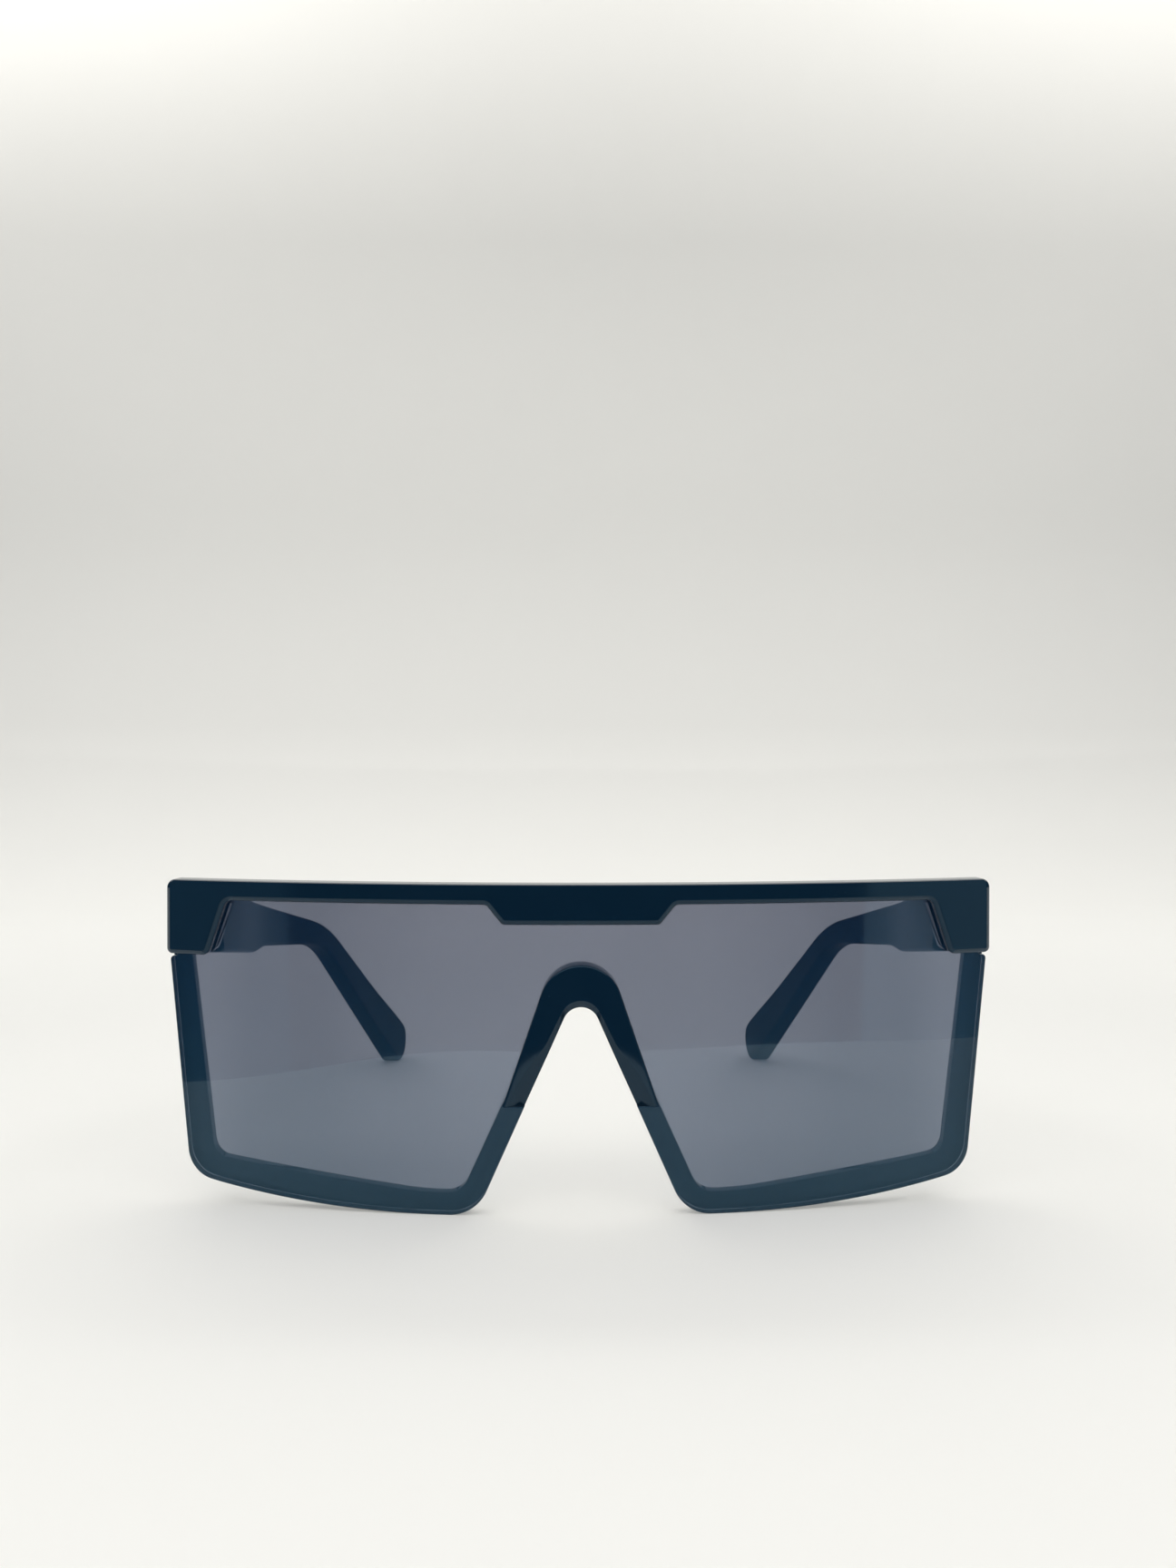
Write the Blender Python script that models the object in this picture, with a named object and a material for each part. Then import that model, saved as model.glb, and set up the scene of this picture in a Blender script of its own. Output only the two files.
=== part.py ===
"""Flat top shield sunglasses with a moulded front, one wide lens and two folding temples.

Sizes are in metres and +Z is up. The pieces are modelled in the front's own frame: x runs
across the face, y runs back from the lens towards the ears and z runs up from the lowest point
of the rims. At the end the whole pair is leaned forward until the rims and both temple tips
touch one level surface, and its footprint is centred on the origin.
"""
import math

import bmesh
import bpy
import numpy as np
from mathutils import Matrix, Vector

PART_NAME = "flat_top_sunglasses"

# Shared fits and mesh fineness
FIT_GAP = 0.0003
CUT_OVERRUN = 0.0010
WELD_DISTANCE = 0.000002
SLICE_WIDTH = 0.0052
BARREL_SIDES = 24
EDGE_STEPS = 2

# Face curve of the front, seen from above
FACE_RADIUS = 0.2400

# Depths of the front, measured back from the lens front
LENS_THICKNESS = 0.0020
LENS_EDGE_ROUND = 0.0002
BROW_PROUD = 0.0020
BROW_BACK = 0.0053
BROW_EDGE_ROUND = 0.0007
RIM_THICKNESS = 0.0020
RIM_EDGE_ROUND = 0.0004
RIM_FRONT_CHAMFER = 0.0001

# Brow bar with its centre tab and end blocks, seen from the front
BROW_HALF_WIDTH = 0.0724
BROW_TOP = 0.0560
BROW_TOP_CORNER_ROUND = 0.0016
BROW_HEIGHT = 0.00345
BLOCK_HEIGHT = 0.0130
BLOCK_OUTER_ROUND = 0.0010
BLOCK_FOOT_WIDTH = 0.0078
BLOCK_FOOT_ROUND = 0.0014
BLOCK_HEAD_WIDTH = 0.0112
BLOCK_HEAD_ROUND = 0.0016
TAB_HEIGHT = 0.0068
TAB_HEAD_X = 0.0159
TAB_FOOT_X = 0.0132
TAB_ROUND = 0.0012

# Hinge blocks behind the brow's ends
BLOCK_DEPTH = 0.0056
BLOCK_WALL = 0.0062
BLOCK_INNER_ROUND = 0.0015

# Outer edge of the rims, which the lens shares
RIM_SIDE_INSET = 0.0001
RIM_TAPER = 0.0039
RIM_CORNER_ROUND = 0.0055
CORNER_GAP = 0.0006
BOTTOM_RADIUS = 0.2260
LOBE_X = 0.0240
LOBE_CORNER_X = 0.0177
LOBE_ROUND = 0.0070
NOSE_ROUND = 0.0031

# Width of the rims between the outer edge and the opening
SIDE_RIM_WIDTH = 0.0036
CORNER_RIM_WIDTH = 0.0040
CORNER_RIM_HEIGHT = 0.0037
BOTTOM_RIM_HEIGHT = 0.0031
LOBE_RIM_WIDTH = 0.0026
OPENING_CORNER_ROUND = 0.0030
OPENING_DIP_OFFSET = 0.0030
OPENING_DIP_ROUND = 0.0600
OPENING_LOBE_ROUND = 0.0040

# Saddle bridge: its peaks are where its straight flanks would meet
SADDLE_PEAK_RISE = 0.0077
SADDLE_PEAK_DEPTH = 0.0172
SADDLE_ROUND = 0.0070
SADDLE_HIP_Z = 0.0193
SADDLE_HIP_WIDTH = 0.0038
SADDLE_HIP_ROUND = 0.0180
SEAM_Z = 0.0185
SEAM_WIDTH = 0.0003
SADDLE_PROUD = 0.0004
SADDLE_EDGE_ROUND = 0.0004
SADDLE_BEVEL_TOP = 0.0012
SADDLE_BEVEL_DROP = 0.0008
SADDLE_BEVEL_DROP_AT_SEAM = 0.0016

# Moulded nose pads
PAD_REACH = 0.0042
PAD_REACH_AT_PEAK = 0.0010
PAD_LOW_Z = 0.0080
PAD_TOP_DROP = 0.0052
PAD_FLARE_SHARE = 0.32
PAD_HEEL_SHARE = 0.08

# Rim ends inside the end blocks
RIM_END_HEIGHT = 0.0026
RIM_END_INSET = 0.0011
RIM_END_SINK = 0.0005

# Hidden edge of the lens inside the brow's groove
LENS_TOP_TUCK = 0.0015
LENS_TUCK = 0.0018
LENS_TAB_INSET = 0.0014
LENS_TAB_TUCK = 0.0019
LENS_CORNER_ROUND = 0.0007
LENS_STEP_ROUND = 0.0003
SADDLE_GAP = 0.00035

# Temple, seen from the side: reaches run back from the block's seat, drops down from the brow's top
BUTT_TOP_DROP = 0.0006
BUTT_BOTTOM_DROP = 0.0128
BUTT_ROUND = 0.0012
HEEL_REACH = 0.0050
HEEL_DROP = 0.0147
HEEL_ROUND = 0.0040
SHOULDER_REACH = 0.0216
SHOULDER_DROP = 0.0071
SHOULDER_ROUND = 0.0800
BEND_TOP_REACH = 0.0649
BEND_TOP_DROP = 0.0171
BEND_TOP_ROUND = 0.0600
BASE_END_REACH = 0.0220
BASE_END_DROP = 0.0173
BASE_END_ROUND = 0.0120
STEP_END_REACH = 0.0278
STEP_END_DROP = 0.0168
STEP_END_ROUND = 0.0140
BEND_LOW_REACH = 0.0627
BEND_LOW_DROP = 0.0213
BEND_LOW_ROUND = 0.0350
TIP_TOP_REACH = 0.1313
TIP_TOP_DROP = 0.0562
TIP_LOW_REACH = 0.1251
TIP_LOW_DROP = 0.0656
TIP_ROUND = 0.0053

# Temple, seen from above
TEMPLE_INSET = 0.0004
TEMPLE_TOE_IN_SHARE = 0.137
TEMPLE_BASE_THICKNESS = 0.0055
TEMPLE_ARM_THICKNESS = 0.0043
TEMPLE_TIP_THICKNESS = 0.0050
THINNING_START_REACH = 0.0092
THINNING_END_REACH = 0.0292
THICKENING_START_REACH = 0.0982
TEMPLE_EDGE_ROUND = 0.0009

# Barrel hinge
BARREL_RADIUS = 0.0018
BARREL_DROP = 0.0074
CENTRE_KNUCKLE = 0.0022
OUTER_KNUCKLE = 0.0018
KNUCKLE_GAP = 0.0003
NOTCH_CLEARANCE = 0.0004
FRONT_PLATE_WIDTH = 0.0040
FRONT_PLATE_THICKNESS = 0.0010
FRONT_PLATE_HEIGHT = 0.0076
FRONT_FOOT_WIDTH = 0.0020
FRONT_FOOT_DEPTH = 0.0018
FRONT_FOOT_HEIGHT = 0.0048
NECK_WIDTH = 0.0022
TEMPLE_FOOT_LENGTH = 0.0060
TEMPLE_FOOT_WIDTH = 0.0016
TEMPLE_FOOT_HEIGHT = 0.0040
TEMPLE_NECK_WIDTH = 0.0018
BARB_DEPTH = 0.0005
BARB_LENGTH = 0.0010

# Hinge screw
SCREW_RADIUS = 0.0007
SCREW_HEAD_RADIUS = 0.0011
SCREW_HEAD_HEIGHT = 0.0007
SCREW_TIP_LENGTH = 0.0002
SCREW_SLOT_WIDTH = 0.0004
SCREW_SLOT_DEPTH = 0.0003


def face_sagitta(x):
    """How far the face curve lies behind its centre at a distance x from it."""
    return FACE_RADIUS - math.sqrt(FACE_RADIUS ** 2 - x ** 2)


def bottom_rise(x):
    """Height of the rims' bottom edge, an arc that touches the ground line at the lobe."""
    return BOTTOM_RADIUS - math.sqrt(BOTTOM_RADIUS ** 2 - (x - LOBE_X) ** 2)


# Places on the front that follow from the sizes above
SEAT_W = LENS_THICKNESS + FIT_GAP
RIM_BACK = SEAT_W + RIM_THICKNESS
SEAT_Y = face_sagitta(BROW_HALF_WIDTH) + BLOCK_DEPTH
BROW_LIP = BROW_TOP - BROW_HEIGHT
BLOCK_BOTTOM = BROW_TOP - BLOCK_HEIGHT
BLOCK_FOOT_X = BROW_HALF_WIDTH - BLOCK_FOOT_WIDTH
BLOCK_HEAD_X = BROW_HALF_WIDTH - BLOCK_HEAD_WIDTH
TAB_BOTTOM = BROW_TOP - TAB_HEIGHT
RIM_TOP_X = BROW_HALF_WIDTH - RIM_SIDE_INSET
RIM_TOP = BLOCK_BOTTOM - CORNER_GAP
RIM_CORNER_X = RIM_TOP_X - RIM_TAPER
RIM_END_Z = BLOCK_BOTTOM + RIM_END_HEIGHT
OPENING_TOP_X = RIM_TOP_X - SIDE_RIM_WIDTH
OPENING_CORNER_X = RIM_CORNER_X - CORNER_RIM_WIDTH
OPENING_CORNER_Z = bottom_rise(OPENING_CORNER_X) + CORNER_RIM_HEIGHT
OPENING_DIP_X = LOBE_X + OPENING_DIP_OFFSET
OPENING_LOBE_X = LOBE_CORNER_X + LOBE_RIM_WIDTH
SADDLE_PEAK = TAB_BOTTOM + SADDLE_PEAK_RISE
NOSE_PEAK = SADDLE_PEAK - SADDLE_PEAK_DEPTH
SADDLE_HIP_X = LOBE_CORNER_X * (1 - SADDLE_HIP_Z / NOSE_PEAK) + SADDLE_HIP_WIDTH
PAD_HIGH_Z = NOSE_PEAK - PAD_TOP_DROP
LENS_TOP = BROW_LIP + LENS_TOP_TUCK
LENS_TAB_X = RIM_TOP_X - LENS_TAB_INSET
LENS_TAB_TOP = BLOCK_BOTTOM + LENS_TAB_TUCK

# Places on the temple and hinge that follow from the sizes above
BUTT_Y = SEAT_Y + FIT_GAP
TIP_END_Y = SEAT_Y + TIP_TOP_REACH
TEMPLE_OUTER_X = BROW_HALF_WIDTH - TEMPLE_INSET
BARREL_Y = SEAT_Y + NOTCH_CLEARANCE + BARREL_RADIUS
TEMPLE_INNER_X = TEMPLE_OUTER_X - TEMPLE_BASE_THICKNESS - TEMPLE_TOE_IN_SHARE * (BARREL_Y - SEAT_Y)
BARREL_X = TEMPLE_INNER_X + BARREL_RADIUS
BARREL_Z = BROW_TOP - BARREL_DROP
NOTCH_REACH = BARREL_RADIUS + NOTCH_CLEARANCE
BARREL_HALF_HEIGHT = CENTRE_KNUCKLE / 2 + KNUCKLE_GAP + OUTER_KNUCKLE
BORE_RADIUS = SCREW_RADIUS + FIT_GAP
HEAD_BORE_RADIUS = SCREW_HEAD_RADIUS + FIT_GAP
HEAD_BORE_DEPTH = SCREW_HEAD_HEIGHT + FIT_GAP


# Outlines

def corner_arc(before, corner, after, radius, steps):
    """Points of the round of a given radius where two straight lines meet at a corner."""
    corner = np.array(corner, dtype=float)
    to_before = np.array(before, dtype=float) - corner
    to_after = np.array(after, dtype=float) - corner
    to_before /= np.linalg.norm(to_before)
    to_after /= np.linalg.norm(to_after)
    half_angle = math.acos(float(np.clip(np.dot(to_before, to_after), -1, 1))) / 2
    bisector = to_before + to_after
    bisector /= np.linalg.norm(bisector)
    centre = corner + bisector * radius / math.sin(half_angle)
    start = corner + to_before * radius / math.tan(half_angle) - centre
    end = corner + to_after * radius / math.tan(half_angle) - centre
    sweep = math.atan2(start[0] * end[1] - start[1] * end[0], float(np.dot(start, end)))
    angles = np.linspace(0, sweep, steps + 1)
    turned_x = start[0] * np.cos(angles) - start[1] * np.sin(angles)
    turned_y = start[0] * np.sin(angles) + start[1] * np.cos(angles)
    return centre + np.stack([turned_x, turned_y], axis=1)


def rounded_outline(corners):
    """Closed outline through (x, y, radius, steps) corners, each one rounded by its radius."""
    stretches = []
    for index, (x, y, radius, steps) in enumerate(corners):
        before = corners[index - 1]
        after = corners[(index + 1) % len(corners)]
        if radius > 0:
            stretches.append(corner_arc(before[:2], (x, y), after[:2], radius, steps))
        else:
            stretches.append(np.array([[x, y]]))
    return np.concatenate(stretches)


def resample(points, count):
    """Points at equal distances along an open line, both ends included."""
    steps = np.linalg.norm(np.diff(points, axis=0), axis=1)
    travelled = np.concatenate([[0], np.cumsum(steps)])
    wanted = np.linspace(0, travelled[-1], count)
    return np.stack([np.interp(wanted, travelled, points[:, axis]) for axis in (0, 1)], axis=1)


def mirrored(half):
    """A closed outline from its right half, which runs from the centre line to the centre line."""
    left = half[::-1].copy()
    left[:, 0] *= -1
    keep = np.abs(left[:, 0]) > WELD_DISTANCE
    return np.concatenate([half, left[keep]])


def signed_area(points):
    """Signed area of a closed outline, positive when it runs anticlockwise."""
    following = np.roll(points, -1, axis=0)
    return float(np.sum(points[:, 0] * following[:, 1] - points[:, 1] * following[:, 0])) / 2


def grown(points, distance):
    """A closed outline moved outwards by a distance along its mitred corner normals."""
    turn = 1 if signed_area(points) > 0 else -1
    edges = np.roll(points, -1, axis=0) - points
    edges /= np.linalg.norm(edges, axis=1)[:, None]
    normals = np.stack([edges[:, 1], -edges[:, 0]], axis=1) * turn
    previous = np.roll(normals, 1, axis=0)
    mitre = normals + previous
    mitre /= np.linalg.norm(mitre, axis=1)[:, None]
    stretch = 1 / np.sum(mitre * normals, axis=1)
    return points + mitre * (distance * stretch)[:, None]


def rim_stretches():
    """Matched stretches of the right rim's two edges, from the end block to the saddle's peak."""
    outer_top = (RIM_TOP_X, RIM_TOP)
    outer_corner = (RIM_CORNER_X, bottom_rise(RIM_CORNER_X))
    arc_x = np.linspace(RIM_CORNER_X - RIM_CORNER_ROUND, LOBE_X, 9)
    arc = np.array([(x, bottom_rise(x)) for x in arc_x])
    outer_turn = corner_arc(outer_top, outer_corner, arc[1], RIM_CORNER_ROUND, 8)
    outer_lobe = corner_arc((LOBE_X, 0), (LOBE_CORNER_X, 0), (0, NOSE_PEAK), LOBE_ROUND, 10)
    outer_peak = corner_arc((LOBE_CORNER_X, 0), (0, NOSE_PEAK), (-LOBE_CORNER_X, 0), NOSE_ROUND, 24)[:13]

    inner_top = (OPENING_TOP_X, RIM_TOP)
    inner_corner = (OPENING_CORNER_X, OPENING_CORNER_Z)
    inner_dip = (OPENING_DIP_X, BOTTOM_RIM_HEIGHT)
    inner_lobe = (OPENING_LOBE_X, BOTTOM_RIM_HEIGHT)
    hip = (SADDLE_HIP_X, SADDLE_HIP_Z)
    peak = (0, SADDLE_PEAK)
    inner_turn = corner_arc(inner_top, inner_corner, inner_dip, OPENING_CORNER_ROUND, 8)
    inner_floor = corner_arc(inner_corner, inner_dip, inner_lobe, OPENING_DIP_ROUND, 4)
    inner_nose = corner_arc(inner_dip, inner_lobe, hip, OPENING_LOBE_ROUND, 10)
    inner_hip = corner_arc(inner_lobe, hip, peak, SADDLE_HIP_ROUND, 8)
    inner_peak = corner_arc(hip, peak, (-SADDLE_HIP_X, SADDLE_HIP_Z), SADDLE_ROUND, 32)[:17]

    outer_bottom = np.concatenate([outer_turn[-1:], arc[arc[:, 0] < outer_turn[-1][0]], outer_lobe[:1]])
    inner_bottom = np.concatenate([inner_turn[-1:], inner_floor, inner_nose[:1]])
    outer_nose = split_at_height(np.concatenate([outer_lobe[-1:], outer_peak]), SEAM_Z)
    inner_rise = split_at_height(np.concatenate([inner_nose[-1:], inner_hip, inner_peak]), SEAM_Z)
    return {
        "side": (np.array([outer_top, outer_turn[0]]), np.array([inner_top, inner_turn[0]]), 5),
        "corner": (outer_turn, inner_turn, 9),
        "bottom": (outer_bottom, inner_bottom, 9),
        "lobe": (outer_lobe, inner_nose, 10),
        "nose": (outer_nose[0], inner_rise[0], 10),
        "saddle": (outer_nose[1], inner_rise[1], 24),
    }


def split_at_height(points, height):
    """An open rising line cut in two where it passes a height."""
    above = int(np.argmax(points[:, 1] > height))
    low, high = points[above - 1], points[above]
    share = (height - low[1]) / (high[1] - low[1])
    cut = low + (high - low) * share
    return np.concatenate([points[:above], [cut]]), np.concatenate([[cut], points[above:]])


def rim_edge(stretches, side, names):
    """One edge of the rim through the named stretches, as a single open line."""
    pieces = []
    for name in names:
        outer, inner, count = stretches[name]
        line = resample((outer, inner)[side], count)
        pieces.append(line if not pieces else line[1:])
    return np.concatenate(pieces)


def brow_outline():
    """Front view of the brow bar: flat top, end blocks, sloped inner edges and centre tab."""
    half = [
        (0, BROW_TOP, 0, 1),
        (BROW_HALF_WIDTH, BROW_TOP, BROW_TOP_CORNER_ROUND, 4),
        (BROW_HALF_WIDTH, BLOCK_BOTTOM, BLOCK_OUTER_ROUND, 3),
        (BLOCK_FOOT_X, BLOCK_BOTTOM, BLOCK_FOOT_ROUND, 4),
        (BLOCK_HEAD_X, BROW_LIP, BLOCK_HEAD_ROUND, 4),
        (TAB_HEAD_X, BROW_LIP, TAB_ROUND, 3),
        (TAB_FOOT_X, TAB_BOTTOM, TAB_ROUND, 3),
    ]
    left = [(-x, y, radius, steps) for x, y, radius, steps in half[:0:-1]]
    return rounded_outline(half + left)


def lens_outline():
    """Front view of the whole lens, with its edges hidden in the brow and its nose notch."""
    slope = (BLOCK_FOOT_X - BLOCK_HEAD_X) / (BROW_LIP - BLOCK_BOTTOM)
    tuck_low_x = BLOCK_FOOT_X + LENS_TUCK - slope * (LENS_TAB_TOP - BLOCK_BOTTOM)
    tuck_high_x = BLOCK_FOOT_X + LENS_TUCK - slope * (LENS_TOP - BLOCK_BOTTOM)
    hidden = rounded_outline([
        (0, LENS_TOP, 0, 1),
        (tuck_high_x, LENS_TOP, LENS_CORNER_ROUND, 3),
        (tuck_low_x, LENS_TAB_TOP, LENS_CORNER_ROUND, 3),
        (LENS_TAB_X, LENS_TAB_TOP, LENS_CORNER_ROUND, 3),
        (LENS_TAB_X, RIM_TOP, LENS_STEP_ROUND, 2),
        (RIM_TOP_X, RIM_TOP, LENS_CORNER_ROUND, 3),
        (RIM_CORNER_X, bottom_rise(RIM_CORNER_X), 0, 1),
    ])[:-1]
    stretches = rim_stretches()
    shared = rim_edge(stretches, 0, ("side", "corner", "bottom", "lobe", "nose"))[1:]
    saddle = rim_edge(stretches, 1, ("saddle",))
    notch = notch_edge(saddle)
    return mirrored(np.concatenate([hidden, shared, notch]))


def notch_edge(saddle):
    """The saddle's upper edge moved off by its gap, from the seam to the centre line."""
    directions = np.gradient(saddle, axis=0)
    directions /= np.linalg.norm(directions, axis=1)[:, None]
    away = np.stack([-directions[:, 1], directions[:, 0]], axis=1)
    if away[0][0] < 0:
        away = -away
    moved = saddle + away * SADDLE_GAP
    moved[0, 1] = SEAM_Z
    moved[-1, 0] = 0
    return moved


def temple_outline():
    """Side view of the temple as (y, z): deep base, step, slim arm, ear bend and paddle tip."""
    corners = [
        (FIT_GAP, BUTT_TOP_DROP, BUTT_ROUND, 3),
        (SHOULDER_REACH, SHOULDER_DROP, SHOULDER_ROUND, 3),
        (BEND_TOP_REACH, BEND_TOP_DROP, BEND_TOP_ROUND, 8),
        (TIP_TOP_REACH, TIP_TOP_DROP, TIP_ROUND, 8),
        (TIP_LOW_REACH, TIP_LOW_DROP, TIP_ROUND, 8),
        (BEND_LOW_REACH, BEND_LOW_DROP, BEND_LOW_ROUND, 9),
        (STEP_END_REACH, STEP_END_DROP, STEP_END_ROUND, 5),
        (BASE_END_REACH, BASE_END_DROP, BASE_END_ROUND, 5),
        (HEEL_REACH, HEEL_DROP, HEEL_ROUND, 4),
        (FIT_GAP, BUTT_BOTTOM_DROP, BUTT_ROUND, 3),
    ]
    return rounded_outline([
        (SEAT_Y + reach, BROW_TOP - drop, radius, steps) for reach, drop, radius, steps in corners])


# Scene set-up

def clear_scene():
    """Remove every object that the file opens with."""
    for item in list(bpy.data.objects):
        bpy.data.objects.remove(item, do_unlink=True)


def new_collection(name):
    """A collection linked to the scene."""
    collection = bpy.data.collections.new(name)
    bpy.context.scene.collection.children.link(collection)
    return collection


def make_material(name, colour, roughness, metallic=0.0, alpha=1.0):
    """A Principled BSDF material."""
    material = bpy.data.materials.new(name)
    material.use_nodes = True
    shader = material.node_tree.nodes["Principled BSDF"]
    shader.inputs["Base Color"].default_value = (*colour, 1.0)
    shader.inputs["Roughness"].default_value = roughness
    shader.inputs["Metallic"].default_value = metallic
    shader.inputs["Alpha"].default_value = alpha
    material.diffuse_color = (*colour, alpha)
    return material


def add_mesh_object(name, mesh, collection, material=None):
    """An object for a mesh, linked to a collection and given its material."""
    item = bpy.data.objects.new(name, mesh)
    collection.objects.link(item)
    if material is not None:
        mesh.materials.clear()
        mesh.materials.append(material)
    return item


def make_cutter(item):
    """Mark an object as a tool that is not part of the model."""
    item.hide_render = True
    item.display_type = "WIRE"
    return item


# Solids from outlines

def slab_mesh(name, outline, low, high, edge_round):
    """A closed mesh from a flat outline, extruded from low to high along the curve's normal.

    The outline's first axis stays x, its second becomes y, and the extrusion runs along z.
    """
    curve = bpy.data.curves.new(name, "CURVE")
    curve.dimensions = "2D"
    curve.fill_mode = "BOTH"
    curve.extrude = (high - low) / 2 - edge_round
    curve.bevel_depth = edge_round
    curve.offset = -edge_round
    curve.bevel_resolution = EDGE_STEPS
    spline = curve.splines.new("POLY")
    spline.points.add(len(outline) - 1)
    spline.points.foreach_set("co", np.column_stack([
        outline, np.zeros(len(outline)), np.ones(len(outline))]).ravel())
    spline.use_cyclic_u = True
    holder = bpy.data.objects.new(name, curve)
    bpy.context.scene.collection.objects.link(holder)
    bpy.context.view_layer.update()
    evaluated = holder.evaluated_get(bpy.context.evaluated_depsgraph_get())
    mesh = bpy.data.meshes.new_from_object(evaluated)
    bpy.data.objects.remove(holder, do_unlink=True)
    bpy.data.curves.remove(curve)
    shape = bmesh.new()
    shape.from_mesh(mesh)
    bmesh.ops.remove_doubles(shape, verts=shape.verts, dist=WELD_DISTANCE)
    bmesh.ops.translate(shape, verts=shape.verts, vec=(0, 0, (low + high) / 2))
    bmesh.ops.recalc_face_normals(shape, faces=shape.faces)
    shape.to_mesh(mesh)
    shape.free()
    return mesh


def front_slab(name, outline, front, back, edge_round):
    """A slab whose outline is a front view and whose thickness runs back along +Y."""
    mesh = slab_mesh(name, outline, -back, -front, edge_round)
    mesh.transform(Matrix.Rotation(math.pi / 2, 4, "X"))
    return mesh


def slice_along(mesh, axis, low, high, width):
    """Cut a mesh's faces by parallel planes, so that it can follow a curve along one axis."""
    normal = Vector([1 if index == axis else 0 for index in range(3)])
    count = max(1, math.ceil((high - low) / width))
    shape = bmesh.new()
    shape.from_mesh(mesh)
    bmesh.ops.dissolve_limit(shape, angle_limit=math.radians(0.5), verts=shape.verts, edges=shape.edges)
    for step in range(1, count):
        place = normal * (low + (high - low) * step / count)
        every = list(shape.verts) + list(shape.edges) + list(shape.faces)
        bmesh.ops.bisect_plane(shape, geom=every, dist=WELD_DISTANCE, plane_co=place, plane_no=normal)
    bmesh.ops.remove_doubles(shape, verts=shape.verts, dist=WELD_DISTANCE)
    bmesh.ops.triangulate(shape, faces=shape.faces)
    shape.to_mesh(mesh)
    shape.free()


def coordinates(mesh):
    """The mesh's vertices as an array of rows."""
    values = np.empty(len(mesh.vertices) * 3)
    mesh.vertices.foreach_get("co", values)
    return values.reshape(-1, 3)


def set_coordinates(mesh, values):
    """Write an array of rows back to the mesh's vertices."""
    mesh.vertices.foreach_set("co", values.ravel())
    mesh.update()


def follow_face_curve(mesh):
    """Push every point back by the face curve's sagitta at its own x."""
    points = coordinates(mesh)
    points[:, 1] += FACE_RADIUS - np.sqrt(FACE_RADIUS ** 2 - points[:, 0] ** 2)
    set_coordinates(mesh, points)


def loft_mesh(name, sections):
    """A closed solid through rings of equal length, with a cap at each end."""
    rings, ring_size = sections.shape[0], sections.shape[1]
    shape = bmesh.new()
    rows = [[shape.verts.new(point) for point in ring] for ring in sections]
    for index in range(rings - 1):
        for corner in range(ring_size):
            following = (corner + 1) % ring_size
            shape.faces.new((rows[index][corner], rows[index][following],
                             rows[index + 1][following], rows[index + 1][corner]))
    shape.faces.new(rows[0][::-1])
    shape.faces.new(rows[-1])
    bmesh.ops.recalc_face_normals(shape, faces=shape.faces)
    bmesh.ops.triangulate(shape, faces=shape.faces)
    mesh = bpy.data.meshes.new(name)
    shape.to_mesh(mesh)
    shape.free()
    return mesh


def box_mesh(name, low, high):
    """A box between two opposite corners, made from a unit cube."""
    shape = bmesh.new()
    bmesh.ops.create_cube(shape, size=1)
    low, high = Vector(low), Vector(high)
    bmesh.ops.scale(shape, verts=shape.verts, vec=high - low)
    bmesh.ops.translate(shape, verts=shape.verts, vec=(low + high) / 2)
    mesh = bpy.data.meshes.new(name)
    shape.to_mesh(mesh)
    shape.free()
    return mesh


def cylinder_mesh(name, radius, low, high, centre):
    """An upright cylinder between two heights."""
    shape = bmesh.new()
    bmesh.ops.create_cone(shape, cap_ends=True, segments=BARREL_SIDES, radius1=radius, radius2=radius,
                          depth=high - low)
    bmesh.ops.translate(shape, verts=shape.verts, vec=(centre[0], centre[1], (low + high) / 2))
    mesh = bpy.data.meshes.new(name)
    shape.to_mesh(mesh)
    shape.free()
    return mesh


def mirror_mesh(mesh):
    """The same mesh on the other side of the centre plane, facing outwards."""
    shape = bmesh.new()
    shape.from_mesh(mesh)
    bmesh.ops.scale(shape, verts=shape.verts, vec=(-1, 1, 1))
    bmesh.ops.reverse_faces(shape, faces=shape.faces)
    other = bpy.data.meshes.new(mesh.name + "_mirrored")
    shape.to_mesh(other)
    shape.free()
    return other


def boolean(item, tool, operation):
    """Add an exact Boolean modifier."""
    modifier = item.modifiers.new(tool.name, "BOOLEAN")
    modifier.operation = operation
    modifier.solver = "EXACT"
    modifier.object = tool
    return modifier


def combined(name, base, steps, tools):
    """The mesh that a base solid becomes after a list of (operation, mesh) Boolean steps."""
    holder = bpy.data.objects.new(name, base)
    tools.objects.link(holder)
    helpers = []
    for index, (operation, mesh) in enumerate(steps):
        helper = bpy.data.objects.new(f"{name}_step_{index}", mesh)
        tools.objects.link(helper)
        helpers.append(helper)
        boolean(holder, helper, operation)
    bpy.context.view_layer.update()
    evaluated = holder.evaluated_get(bpy.context.evaluated_depsgraph_get())
    mesh = bpy.data.meshes.new_from_object(evaluated)
    mesh.name = name
    for helper in [holder] + helpers:
        bpy.data.objects.remove(helper, do_unlink=True)
    return mesh


# Front frame

def rear_pocket_mesh():
    """The space behind the brow, in plan view, that leaves a hinge block at each end."""
    wall_x = BROW_HALF_WIDTH - BLOCK_WALL
    outline = rounded_outline([
        (-wall_x, BROW_BACK, BLOCK_INNER_ROUND, 3),
        (wall_x, BROW_BACK, BLOCK_INNER_ROUND, 3),
        (wall_x, SEAT_Y + CUT_OVERRUN, 0, 1),
        (-wall_x, SEAT_Y + CUT_OVERRUN, 0, 1),
    ])
    return slab_mesh("rear_pocket", outline, BLOCK_BOTTOM - CUT_OVERRUN, BROW_TOP + CUT_OVERRUN, 0)


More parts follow.
